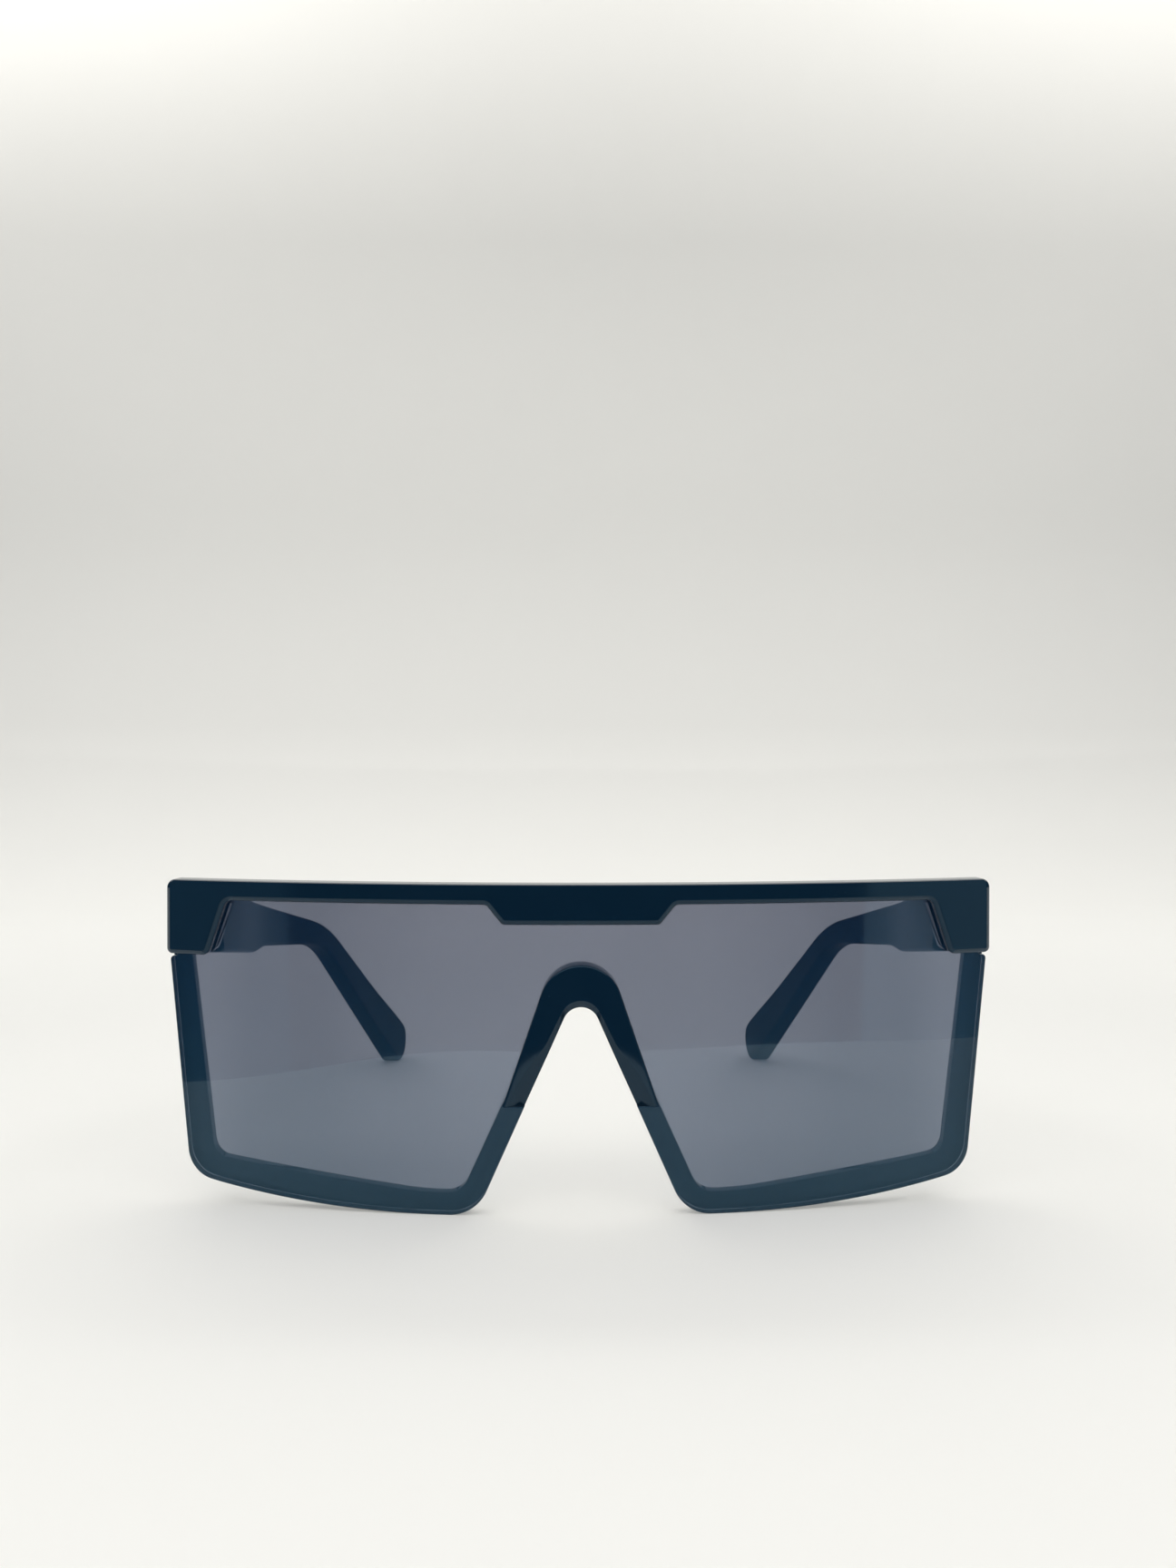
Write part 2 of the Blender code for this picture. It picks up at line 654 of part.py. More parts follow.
def brow_mesh(tools):
    """The brow bar with the lens groove and its flat seats for the temples."""
    slab = front_slab("brow", brow_outline(), -BROW_PROUD, SEAT_Y, BROW_EDGE_ROUND)
    groove = front_slab("groove", grown(lens_outline(), FIT_GAP), -FIT_GAP, SEAT_W, 0)
    steps = [("DIFFERENCE", groove), ("DIFFERENCE", rear_pocket_mesh())]
    mesh = combined("brow", slab, steps, tools)
    slice_along(mesh, 0, -BROW_HALF_WIDTH, BROW_HALF_WIDTH, SLICE_WIDTH)
    follow_face_curve(mesh)
    trim_behind(mesh, SEAT_Y)
    return mesh


def trim_behind(mesh, y):
    """Cut a closed mesh flat at one y and close the cut."""
    shape = bmesh.new()
    shape.from_mesh(mesh)
    every = list(shape.verts) + list(shape.edges) + list(shape.faces)
    cut = bmesh.ops.bisect_plane(shape, geom=every, dist=WELD_DISTANCE, plane_co=(0, y, 0),
                                 plane_no=(0, 1, 0), clear_outer=True)
    edges = [piece for piece in cut["geom_cut"] if isinstance(piece, bmesh.types.BMEdge)]
    bmesh.ops.holes_fill(shape, edges=edges, sides=0)
    bmesh.ops.recalc_face_normals(shape, faces=shape.faces)
    bmesh.ops.triangulate(shape, faces=shape.faces)
    shape.to_mesh(mesh)
    shape.free()


def smooth_step(value, start, end):
    """Rise from 0 at start to 1 at end with level ends."""
    share = np.clip((value - start) / (end - start), 0, 1)
    return share * share * (3 - 2 * share)


def rim_section(outer, inner, raised, sink, bevel_share):
    """One ring across the rim ribbon, between a point on its outer and one on its opening edge.

    raised is 1 on the saddle and 0 where the lens covers the rim, sink pushes the front back
    inside the end blocks, and bevel_share is 1 at the seam and 0 at the saddle's peak.
    """
    across = np.linalg.norm(inner - outer)
    flat_share = 1 - SADDLE_EDGE_ROUND / across
    bevel = SADDLE_BEVEL_TOP / across
    bevel = bevel + (flat_share - RIM_EDGE_ROUND / across - bevel) * bevel_share
    drop = SADDLE_BEVEL_DROP + (SADDLE_BEVEL_DROP_AT_SEAM - SADDLE_BEVEL_DROP) * bevel_share
    chamfer = RIM_FRONT_CHAMFER / across
    low_front = SEAT_W + sink
    pad_share = smooth_step(outer[1], PAD_LOW_Z, SEAM_Z) * (1 - smooth_step(outer[1], SEAM_Z, PAD_HIGH_Z))
    crown = PAD_REACH_AT_PEAK * smooth_step(outer[1], SEAM_Z, PAD_HIGH_Z) * raised
    reach = PAD_REACH * pad_share * (np.abs(outer[0]) < LOBE_X) + crown
    flare = reach * PAD_FLARE_SHARE / across
    heel = reach * PAD_HEEL_SHARE / across
    edge = RIM_EDGE_ROUND / across
    top_outer = low_front + RIM_FRONT_CHAMFER
    top_inner = top_outer
    if raised:
        top_outer = drop - SADDLE_PROUD
        top_inner = SADDLE_EDGE_ROUND - SADDLE_PROUD
    face = -SADDLE_PROUD if raised else low_front
    ring = [
        (0, top_outer),
        (0, RIM_BACK - RIM_EDGE_ROUND),
        (flare * 0.5 + edge * 0.3, RIM_BACK + reach * 0.7 - RIM_EDGE_ROUND * 0.3),
        (flare + edge, RIM_BACK + reach),
        (1 - edge + heel, RIM_BACK + reach),
        (1 - edge * 0.3 + heel, RIM_BACK + reach * 0.8 - RIM_EDGE_ROUND * 0.3),
        (1, RIM_BACK - RIM_EDGE_ROUND),
        (1, top_inner),
        (flat_share if raised else 1 - chamfer, face),
        (bevel if raised else chamfer, face),
    ]
    flat = [outer + (inner - outer) * share for share, depth in ring]
    return np.array([(point[0], depth, point[1]) for point, (share, depth) in zip(flat, ring)])


def rim_mesh():
    """The ribbon of both rims, the raised saddle bridge and the nose pads, as one loft."""
    stretches = rim_stretches()
    sections = []
    outer_end = np.array([RIM_TOP_X - RIM_END_INSET, RIM_END_Z])
    inner_end = np.array([OPENING_TOP_X, RIM_END_Z])
    sections.append(rim_section(outer_end, inner_end, False, RIM_END_SINK, 0))
    middle = np.array([0, (RIM_END_Z - BLOCK_BOTTOM) / 2])
    sections.append(rim_section(outer_end - middle, inner_end - middle, False, RIM_END_SINK, 0))
    for name in ("side", "corner", "bottom", "lobe", "nose"):
        outer, inner, count = stretches[name]
        pairs = list(zip(resample(outer, count), resample(inner, count)))
        for outer_point, inner_point in pairs[1 if name != "side" else 0:]:
            sections.append(rim_section(outer_point, inner_point, False, 0, 0))
    outer, inner, count = stretches["saddle"]
    outer, inner = resample(outer, count), resample(inner, count)
    bevel_shares = 1 - smooth_step(np.linspace(0, 1, count), 0, 0.55)
    for index in range(count):
        lift = np.array([0, SEAM_WIDTH if index == 0 else 0])
        sections.append(rim_section(outer[index] + lift, inner[index] + lift, True, 0, bevel_shares[index]))
    half = np.array(sections)
    left = half[::-1][1:].copy()
    left[:, :, 0] *= -1
    mesh = loft_mesh("rims", np.concatenate([half, left]))
    follow_face_curve(mesh)
    return mesh


def make_front(parts, tools, material):
    """The one-piece moulded front: brow and blocks joined to the rims, with hinge pockets."""
    front = add_mesh_object("frame_front", brow_mesh(tools), parts, material)
    rims = make_cutter(add_mesh_object("rims_tool", rim_mesh(), tools))
    boolean(front, rims, "UNION")
    pocket = hinge_front_leaf_mesh(tools, FIT_GAP)
    for side, mesh in (("right", pocket), ("left", mirror_mesh(pocket))):
        tool = make_cutter(add_mesh_object(f"front_leaf_pocket_{side}", mesh, tools))
        boolean(front, tool, "DIFFERENCE")
    return front


def make_lens(parts, material):
    """The one-piece shield lens, curved like the front."""
    mesh = front_slab("shield_lens", lens_outline(), 0, LENS_THICKNESS, LENS_EDGE_ROUND)
    slice_along(mesh, 0, -BROW_HALF_WIDTH, BROW_HALF_WIDTH, SLICE_WIDTH)
    follow_face_curve(mesh)
    return add_mesh_object("shield_lens", mesh, parts, material)


# Hinges

def hinge_front_leaf_mesh(tools, growth):
    """The right front leaf: plate and barbed foot sunk in the block, and two outer knuckles.

    With growth the same shape is the pocket that receives the plate and its foot.
    """
    plate_x = FRONT_PLATE_WIDTH / 2 + growth
    plate_z = FRONT_PLATE_HEIGHT / 2 + growth
    foot_x = FRONT_FOOT_WIDTH / 2 + growth
    foot_z = FRONT_FOOT_HEIGHT / 2 + growth
    plate_front = SEAT_Y - FRONT_PLATE_THICKNESS - growth
    foot_front = plate_front - FRONT_FOOT_DEPTH
    centre_x = BARREL_X + (FRONT_PLATE_WIDTH - BARREL_RADIUS) / 4
    plate_back = SEAT_Y + (CUT_OVERRUN if growth else 0)
    plate = box_mesh("plate", (centre_x - plate_x, plate_front, BARREL_Z - plate_z),
                     (centre_x + plate_x, plate_back, BARREL_Z + plate_z))
    foot = box_mesh("foot", (centre_x - foot_x, foot_front, BARREL_Z - foot_z),
                    (centre_x + foot_x, SEAT_Y - FRONT_PLATE_THICKNESS / 2, BARREL_Z + foot_z))
    barb_x = foot_x + BARB_DEPTH
    barb_back = foot_front + BARB_LENGTH + growth
    barb = box_mesh("barb", (centre_x - barb_x, foot_front, BARREL_Z - foot_z / 2),
                    (centre_x + barb_x, barb_back, BARREL_Z + foot_z / 2))
    steps = [("UNION", foot), ("UNION", barb)]
    if growth:
        return combined("front_leaf_pocket", plate, steps, tools)
    for sign in (-1, 1):
        low = BARREL_Z + sign * (CENTRE_KNUCKLE / 2 + KNUCKLE_GAP)
        high = BARREL_Z + sign * BARREL_HALF_HEIGHT
        low, high = min(low, high), max(low, high)
        knuckle = cylinder_mesh("knuckle", BARREL_RADIUS, low, high, (BARREL_X, BARREL_Y))
        neck = box_mesh("neck", (BARREL_X - NECK_WIDTH / 2, plate_front + FRONT_PLATE_THICKNESS / 2, low),
                        (BARREL_X + NECK_WIDTH / 2, BARREL_Y, high))
        steps += [("UNION", neck), ("UNION", knuckle)]
    bore_low = BARREL_Z - BARREL_HALF_HEIGHT - CUT_OVERRUN
    bore_high = BARREL_Z + BARREL_HALF_HEIGHT + CUT_OVERRUN
    head_low = BARREL_Z + BARREL_HALF_HEIGHT - HEAD_BORE_DEPTH
    centre = (BARREL_X, BARREL_Y)
    steps.append(("DIFFERENCE", cylinder_mesh("bore", BORE_RADIUS, bore_low, bore_high, centre)))
    steps.append(("DIFFERENCE", cylinder_mesh("head_bore", HEAD_BORE_RADIUS, head_low, bore_high, centre)))
    return combined("front_leaf", plate, steps, tools)


def hinge_temple_leaf_mesh(tools, growth):
    """The right temple leaf: centre knuckle, neck and a barbed foot that runs into the temple."""
    neck_x = TEMPLE_NECK_WIDTH / 2
    foot_x = TEMPLE_FOOT_WIDTH / 2 + growth
    foot_z = TEMPLE_FOOT_HEIGHT / 2 + growth
    wall_y = BARREL_Y + NOTCH_REACH
    foot_end = wall_y + TEMPLE_FOOT_LENGTH + growth
    foot_start = wall_y - (CUT_OVERRUN if growth else FIT_GAP)
    foot = box_mesh("foot", (BARREL_X - foot_x, foot_start, BARREL_Z - foot_z),
                    (BARREL_X + foot_x, foot_end, BARREL_Z + foot_z))
    barb_x = foot_x + BARB_DEPTH
    barb_start = foot_end - BARB_LENGTH - 2 * growth
    barb = box_mesh("barb", (BARREL_X - barb_x, barb_start, BARREL_Z - foot_z / 2),
                    (BARREL_X + barb_x, foot_end, BARREL_Z + foot_z / 2))
    steps = [("UNION", barb)]
    if growth:
        return combined("temple_leaf_pocket", foot, steps, tools)
    low, high = BARREL_Z - CENTRE_KNUCKLE / 2, BARREL_Z + CENTRE_KNUCKLE / 2
    neck = box_mesh("neck", (BARREL_X - neck_x, BARREL_Y, low), (BARREL_X + neck_x, wall_y, high))
    knuckle = cylinder_mesh("knuckle", BARREL_RADIUS, low, high, (BARREL_X, BARREL_Y))
    bore = cylinder_mesh("bore", BORE_RADIUS, low - CUT_OVERRUN, high + CUT_OVERRUN, (BARREL_X, BARREL_Y))
    steps += [("UNION", neck), ("UNION", knuckle), ("DIFFERENCE", bore)]
    return combined("temple_leaf", foot, steps, tools)


def screw_mesh(tools):
    """The right hinge screw: a slotted head let into the top knuckle and a plain shank."""
    centre = (BARREL_X, BARREL_Y)
    head_top = BARREL_Z + BARREL_HALF_HEIGHT
    head_low = head_top - SCREW_HEAD_HEIGHT
    shank_low = BARREL_Z - BARREL_HALF_HEIGHT - SCREW_TIP_LENGTH
    shank = cylinder_mesh("shank", SCREW_RADIUS, shank_low, head_top - SCREW_HEAD_HEIGHT / 2, centre)
    head = cylinder_mesh("head", SCREW_HEAD_RADIUS, head_low, head_top, centre)
    slot_y = SCREW_SLOT_WIDTH / 2
    slot = box_mesh("slot", (BARREL_X - BARREL_RADIUS, BARREL_Y - slot_y, head_top - SCREW_SLOT_DEPTH),
                    (BARREL_X + BARREL_RADIUS, BARREL_Y + slot_y, head_top + CUT_OVERRUN))
    return combined("screw", shank, [("UNION", head), ("DIFFERENCE", slot)], tools)


# Temples

def temple_mesh(tools):
    """The right temple in its open place, with the notch for the barrels and the foot's slot."""
    outline = temple_outline()
    half = TEMPLE_ARM_THICKNESS / 2
    mesh = slab_mesh("temple", outline, -half, half, TEMPLE_EDGE_ROUND)
    mesh.transform(Matrix(((0, 0, 1, 0), (1, 0, 0, 0), (0, 1, 0, 0), (0, 0, 0, 1))))
    slice_along(mesh, 1, BUTT_Y, TIP_END_Y, SLICE_WIDTH)
    points = coordinates(mesh)
    reach = points[:, 1] - SEAT_Y
    thinning = smooth_step(reach, THINNING_START_REACH, THINNING_END_REACH)
    thickness = TEMPLE_BASE_THICKNESS + (TEMPLE_ARM_THICKNESS - TEMPLE_BASE_THICKNESS) * thinning
    thickening = smooth_step(reach, THICKENING_START_REACH, TIP_LOW_REACH)
    thickness += (TEMPLE_TIP_THICKNESS - TEMPLE_ARM_THICKNESS) * thickening
    outer = TEMPLE_OUTER_X - TEMPLE_TOE_IN_SHARE * reach
    points[:, 0] = outer - thickness / 2 + points[:, 0] * thickness / TEMPLE_ARM_THICKNESS
    set_coordinates(mesh, points)
    notch = box_mesh("notch", (0, 0, 0), (BARREL_X + NOTCH_REACH, BARREL_Y + NOTCH_REACH, BROW_TOP))
    slot = hinge_temple_leaf_mesh(tools, FIT_GAP)
    return combined("temple", mesh, [("DIFFERENCE", notch), ("DIFFERENCE", slot)], tools)


# Assembly

def place_on(item, parent, place):
    """Parent an object whose mesh is in the front's frame, with its origin moved to a place."""
    item.data.transform(Matrix.Translation(-Vector(place)))
    item.parent = parent
    item.location = place


def make_side(side, sign, parts, tools, materials, root):
    """The temple, hinge leaves and screw of one side, the moving ones on the hinge axis."""
    pieces = {
        f"hinge_front_leaf_{side}": (hinge_front_leaf_mesh(tools, 0), "hinge_metal", False),
        f"hinge_screw_{side}": (screw_mesh(tools), "screw_metal", False),
        f"temple_{side}": (temple_mesh(tools), "temple_plastic", True),
        f"hinge_temple_leaf_{side}": (hinge_temple_leaf_mesh(tools, 0), "hinge_metal", True),
    }
    axis_place = (sign * BARREL_X, BARREL_Y, BARREL_Z)
    pivot = bpy.data.objects.new(f"hinge_axis_{side}", None)
    parts.objects.link(pivot)
    pivot.parent = root
    pivot.location = axis_place
    for name, (mesh, slot, moves) in pieces.items():
        if sign < 0:
            mesh = mirror_mesh(mesh)
        item = add_mesh_object(name, mesh, parts, materials[slot].copy())
        place_on(item, root, axis_place)
        if moves:
            item.parent = pivot
            item.location = (0, 0, 0)


def stand_on_surface(root, parts):
    """Lean the pair until rims and tips touch one level, then centre it on the origin."""
    fronts, tips = [], []
    for item in parts.objects:
        if item.type != "MESH":
            continue
        evaluated = item.evaluated_get(bpy.context.evaluated_depsgraph_get())
        mesh = evaluated.to_mesh()
        turned = coordinates(mesh) @ np.array(item.matrix_world.to_3x3()).T
        points = turned + np.array(item.matrix_world.translation)
        (tips if item.name.startswith("temple") else fronts).append(points)
        evaluated.to_mesh_clear()
    fronts, tips = np.concatenate(fronts), np.concatenate(tips)
    lean = 0.0
    for _ in range(12):
        front_low = fronts[np.argmin(fronts[:, 1] * math.sin(lean) + fronts[:, 2] * math.cos(lean))]
        tip_low = tips[np.argmin(tips[:, 1] * math.sin(lean) + tips[:, 2] * math.cos(lean))]
        lean = math.atan2(front_low[2] - tip_low[2], tip_low[1] - front_low[1])
    turn = Matrix.Rotation(lean, 4, "X")
    every = np.concatenate([fronts, tips]) @ np.array(turn.to_3x3()).T
    low, high = every.min(axis=0), every.max(axis=0)
    root.rotation_euler = (lean, 0, 0)
    root.location = (-(low[0] + high[0]) / 2, -(low[1] + high[1]) / 2, -low[2])


def shade(parts):
    """Smooth shading with crisp edges kept."""
    for item in parts.objects:
        if item.type == "MESH":
            item.data.shade_smooth()
            item.data.set_sharp_from_angle(angle=math.radians(30))


def main():
    """Build the pair of sunglasses."""
    clear_scene()
    parts = new_collection(PART_NAME)
    tools = new_collection(PART_NAME + "_cutters")
    materials = {
        "frame_plastic": make_material("frame_plastic", (0.006, 0.008, 0.011), 0.12),
        "temple_plastic": make_material("temple_plastic", (0.007, 0.009, 0.012), 0.22),
        "lens_tint": make_material("lens_tint", (0.10, 0.12, 0.15), 0.05, alpha=0.5),
        "hinge_metal": make_material("hinge_metal", (0.55, 0.55, 0.56), 0.3, metallic=1.0),
        "screw_metal": make_material("screw_metal", (0.62, 0.62, 0.63), 0.25, metallic=1.0),
    }
    root = bpy.data.objects.new("stance", None)
    parts.objects.link(root)
    front = make_front(parts, tools, materials["frame_plastic"])
    lens = make_lens(parts, materials["lens_tint"])
    front.parent = root
    lens.parent = root
    for tool in tools.objects:
        tool.parent = root
    for side, sign in (("right", 1), ("left", -1)):
        make_side(side, sign, parts, tools, materials, root)
    bpy.context.view_layer.update()
    shade(parts)
    stand_on_surface(root, parts)
    bpy.context.view_layer.update()


main()
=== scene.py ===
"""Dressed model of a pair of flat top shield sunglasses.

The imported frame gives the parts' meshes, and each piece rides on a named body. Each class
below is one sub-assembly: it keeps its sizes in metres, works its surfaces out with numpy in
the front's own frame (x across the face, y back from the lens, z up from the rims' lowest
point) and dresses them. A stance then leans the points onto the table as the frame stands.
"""
import cmath
import logging
import math
from dataclasses import dataclass
from enum import Enum
from functools import partial
from typing import Callable, Sequence

import bmesh
import bpy
import numpy as np
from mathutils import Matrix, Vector
from mathutils.geometry import delaunay_2d_cdt

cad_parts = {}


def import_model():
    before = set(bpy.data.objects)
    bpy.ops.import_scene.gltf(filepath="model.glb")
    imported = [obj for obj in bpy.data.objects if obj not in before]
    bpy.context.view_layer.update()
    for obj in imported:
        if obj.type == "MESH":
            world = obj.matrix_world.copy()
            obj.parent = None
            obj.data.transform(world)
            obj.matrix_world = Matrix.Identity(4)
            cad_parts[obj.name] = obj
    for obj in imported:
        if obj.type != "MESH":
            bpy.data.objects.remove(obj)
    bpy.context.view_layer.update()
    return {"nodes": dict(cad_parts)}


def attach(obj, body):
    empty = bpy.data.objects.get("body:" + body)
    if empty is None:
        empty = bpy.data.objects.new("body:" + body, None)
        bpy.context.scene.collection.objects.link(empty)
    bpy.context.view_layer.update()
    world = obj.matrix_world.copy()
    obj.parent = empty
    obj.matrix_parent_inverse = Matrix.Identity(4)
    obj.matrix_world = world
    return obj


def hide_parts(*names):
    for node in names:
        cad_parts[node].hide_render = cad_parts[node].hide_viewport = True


LOG = logging.getLogger("sunglasses")

Array = np.ndarray
Level = Callable[[Array], Array]
Pair = tuple[float, float]
Triple = tuple[float, float, float]
Material = bpy.types.Material
Node = bpy.types.Node
Piece = bpy.types.Object
Socket = bpy.types.NodeSocket

MERGE = 2e-6  # Points closer than this become one.
EDGE = 0.00001  # Half the width of a sharp step in a level.
CROSSING_GAP = 0.0001  # Least distance from an added crossing to the points beside it.
SLIVER_COSINE = -0.985  # Cosine of the angle past which a triangle counts as a sliver.
FLIP_ROUNDS = 60  # Most rounds of turning slivers.
ROOM_SHARE = 0.4  # Share of the spacing that an even point keeps away from the fixed ones.
CLEAR_SHARE = 0.45  # Share of the pitch that a face's grid keeps away from its edge.
COLUMN_STEP = 0.002  # Spacing of a face's grid along its first coordinate.
TO_MM = 1000  # Triangles are found in millimetres, where the tolerance below is safe.
TOLERANCE = 1e-5


class Side(Enum):
    """The two sides of the pair, with the sign of their x."""

    LEFT = -1
    RIGHT = 1

    @property
    def label(self) -> str:
        """The side's name as the frame's nodes and bodies write it."""
        return self.name.lower()


# Flat outlines

def corner_arc(before: Sequence[float], corner: Sequence[float], after: Sequence[float],
               radius: float, steps: int) -> Array:
    """Round of a given radius where two straight lines meet, with points as complex numbers.

    The centre lies on the bisector at radius / sin(half angle), and the arc turns about it from
    one tangent point to the other.

    Args:
        before: A point on the line that comes in.
        corner: The corner itself.
        after: A point on the line that goes out.
        radius: Radius of the round.
        steps: Segments along the arc.

    Returns:
        The arc's points as rows.
    """
    apex = complex(*corner)
    ways = [complex(*point) - apex for point in (before, after)]
    arrive, leave = (way / abs(way) for way in ways)
    half = abs(cmath.phase(leave / arrive)) / 2
    centre = apex + (arrive + leave) / abs(arrive + leave) * radius / math.sin(half)
    start, end = (apex + way * radius / math.tan(half) - centre for way in (arrive, leave))
    turned = centre + start * np.exp(1j * np.linspace(0, cmath.phase(end / start), steps + 1))
    return np.stack([turned.real, turned.imag], axis=1)


def rounds(line: Sequence[Sequence[float]], *shapes: tuple[float, int]) -> list[Array]:
    """Rounds at a line's inner points in turn, each with its own radius and steps."""
    return [corner_arc(*line[first:first + 3], *shape) for first, shape in enumerate(shapes)]


def rounded_outline(corners: Sequence[Triple], steps: int) -> Array:
    """Closed outline through corners that are each rounded by their own radius.

    Args:
        corners: Rows of (x, y, radius).
        steps: Segments along each round.

    Returns:
        The outline's points as rows.
    """
    parts = []
    for index, (x, y, radius) in enumerate(corners):
        before, after = corners[index - 1], corners[(index + 1) % len(corners)]
        parts.append(corner_arc(before[:2], (x, y), after[:2], radius, steps) if radius > 0
                     else np.array([[x, y]]))
    return np.concatenate(parts)


def path_lengths(points: Array) -> Array:
    """Distance travelled along an open line at each of its points."""
    return np.concatenate([[0], np.cumsum(np.linalg.norm(np.diff(points, axis=0), axis=1))])


def points_along(line: Array, wanted: Array) -> Array:
    """Points at wanted distances along a line, by linear blends between its own points."""
    travelled = path_lengths(line)
    return np.stack([np.interp(wanted, travelled, line[:, axis]) for axis in (0, 1)], axis=1)


def resample(line: Array, count: int) -> Array:
    """Points at equal distances along an open line, both ends included."""
    return points_along(line, np.linspace(0, path_lengths(line)[-1], count))


def densify(outline: Array, spacing: float, crossings: Sequence[float] = ()) -> Array:
    """Closed outline with extra points along its straights and where it crosses set abscissae.

    Every point is a linear blend along the outline's own length, so its shape is unchanged.

    Args:
        outline: The outline's points as rows.
        spacing: Largest distance wanted between neighbours.
        crossings: Values of the first coordinate that get a point of their own.

    Returns:
        The refined outline, which runs anticlockwise.
    """
    following = np.roll(outline, -1, axis=0)
    if np.sum(outline[:, 0] * following[:, 1] - outline[:, 1] * following[:, 0]) < 0:
        outline = outline[::-1]
    closed = np.concatenate([outline, outline[:1]])
    travelled = path_lengths(closed)
    kept = [travelled[:-1]]
    for value in crossings:
        first, second = closed[:-1, 0] - value, closed[1:, 0] - value
        hit = np.nonzero(first * second < 0)[0]
        share = first[hit] / (first[hit] - second[hit])
        length = travelled[hit + 1] - travelled[hit]
        clear = np.minimum(share, 1 - share) * length > CROSSING_GAP
        kept.append((travelled[hit] + share * length)[clear])
    fixed = np.sort(np.concatenate(kept))
    regular = np.linspace(0, travelled[-1], max(8, int(travelled[-1] / spacing)), endpoint=False)
    room = np.abs(regular[:, None] - fixed).min(axis=1)
    wanted = np.sort(np.concatenate([fixed, regular[room > ROOM_SHARE * spacing]]))
    return points_along(closed, wanted[np.diff(wanted, prepend=-1) > 2 * MERGE])


def inward_normals(outline: Array) -> Array:
    """Mitred inward normals, stretched so that inset sides stay parallel.

    Args:
        outline: An anticlockwise outline's points as rows.

    Returns:
        A normal for each point.
    """
    edges = np.roll(outline, -1, axis=0) - outline
    edges /= np.linalg.norm(edges, axis=1)[:, None]
    normals = np.stack([-edges[:, 1], edges[:, 0]], axis=1)
    mitre = normals + np.roll(normals, 1, axis=0)
    mitre /= np.linalg.norm(mitre, axis=1)[:, None]
    return mitre / np.sum(mitre * normals, axis=1)[:, None]


def smooth_step(value: Array, start: float, end: float) -> Array:
    """Rise from 0 at start to 1 at end along 3t squared minus 2t cubed."""
    share = np.clip((value - start) / (end - start), 0, 1)
    return share * share * (3 - 2 * share)


# Surfaces

@dataclass
class Ring:
    """One loop round a slab: how far in from the outline it runs, and its depth there."""

    inset: float | Array
    level: Level


def flat_level(depth: float) -> Level:
    """Level of a face that lies at one depth all over."""
    return lambda flat: np.full(len(flat), depth)


def edge_rings(radius: float, level_at: Callable[[float], Level], sign: int, guard: float,
               steps: int = 5) -> list[Ring]:
    """Quarter round from a flat face to the side wall, with a guard strip on the face.

    At an angle t from the face, the inset is radius (1 - sin t) and the depth moves by
    radius (1 - cos t).

    Args:
        radius: Radius of the round.
        level_at: Gives the level that lies a distance behind the face.
        sign: 1 where the wall lies deeper than the face, -1 where it lies nearer.
        guard: Width of the flat strip that keeps the face's shading flat.
        steps: Rings on the round.

    Returns:
        The rings, from the face to the wall.
    """
    return [Ring(radius + guard, level_at(0.0))] + [
        Ring(radius * (1 - math.sin(t)), level_at(sign * radius * (1 - math.cos(t))))
        for t in np.linspace(0, math.pi / 2, steps)]


def inside(points: Array, loop: Array) -> Array:
    """Which points lie inside a closed loop, by counting the loop's crossings to their right.

    Args:
        points: Flat points as rows.
        loop: The loop's points as rows.

    Returns:
        True for each point inside.
    """
    x, y = points[:, :1], points[:, 1:]
    ax, ay = loop[:, 0], loop[:, 1]
    bx, by = np.roll(ax, -1), np.roll(ay, -1)
    crossing = ax + (y - ay) * (bx - ax) / np.where(by == ay, 1, by - ay)
    return np.sum(((ay > y) != (by > y)) & (x < crossing), axis=1) % 2 == 1


def neighbours(triangles: Array, total: int) -> tuple[Array, Array]:
    """What lies across each side of each triangle.

    Args:
        triangles: Rows of three indices, anticlockwise.
        total: How many points there are.

    Returns:
        The triangle across each side, -1 where none is, and the number of its side.
    """
    tails = np.roll(triangles, -1, axis=1)
    keys = (triangles * total + tails).ravel()
    wanted = (tails * total + triangles).ravel()
    order = np.argsort(keys)
    slot = np.clip(np.searchsorted(keys[order], wanted), 0, len(keys) - 1)
    across = np.where(keys[order][slot] == wanted, order[slot] // 3, -1)
    return across.reshape(-1, 3), (order[slot] % 3).reshape(-1, 3)


def inner_triangles(triangles: Array, count: int, total: int) -> Array:
    """Which triangles lie inside an anticlockwise loop.

    A triangle that runs along the loop's edge in its direction is inside, and one that runs
    against it is outside. The labels then spread across all other sides.

    Args:
        triangles: Rows of three indices, anticlockwise.
        count: Points in the loop, which come first.
        total: All points.

    Returns:
        True for each triangle inside.
    """
    across, _ = neighbours(triangles, total)
    tails = np.roll(triangles, -1, axis=1)
    step = np.where((triangles < count) & (tails < count), (tails - triangles) % count, 0)
    forward, backward = step == 1, step == count - 1
    label = np.sign(forward.sum(axis=1) - backward.sum(axis=1))
    passes = (across >= 0) & ~forward & ~backward
    while not label.all():
        spread = np.sign(np.sum(np.where(passes, label[across], 0), axis=1))
        if not spread[label == 0].any():
            break
        label = np.where(label == 0, spread, label)
    return label > 0


def find_slivers(corners: Array) -> tuple[Array, Array]:
    """Find the triangles with one very wide angle, by the cosine rule.

    Args:
        corners: Triangles by corners by (x, y).

    Returns:
        Whether each is a sliver, and the number of its longest side.
    """
    sides = np.linalg.norm(np.roll(corners, -1, axis=1) - corners, axis=2)
    top = sides.max(axis=1)
    product = sides.prod(axis=1) / top
    cosine = (np.sum(sides ** 2, axis=1) - 2 * top ** 2) / (2 * product)
    return cosine < SLIVER_COSINE, sides.argmax(axis=1)


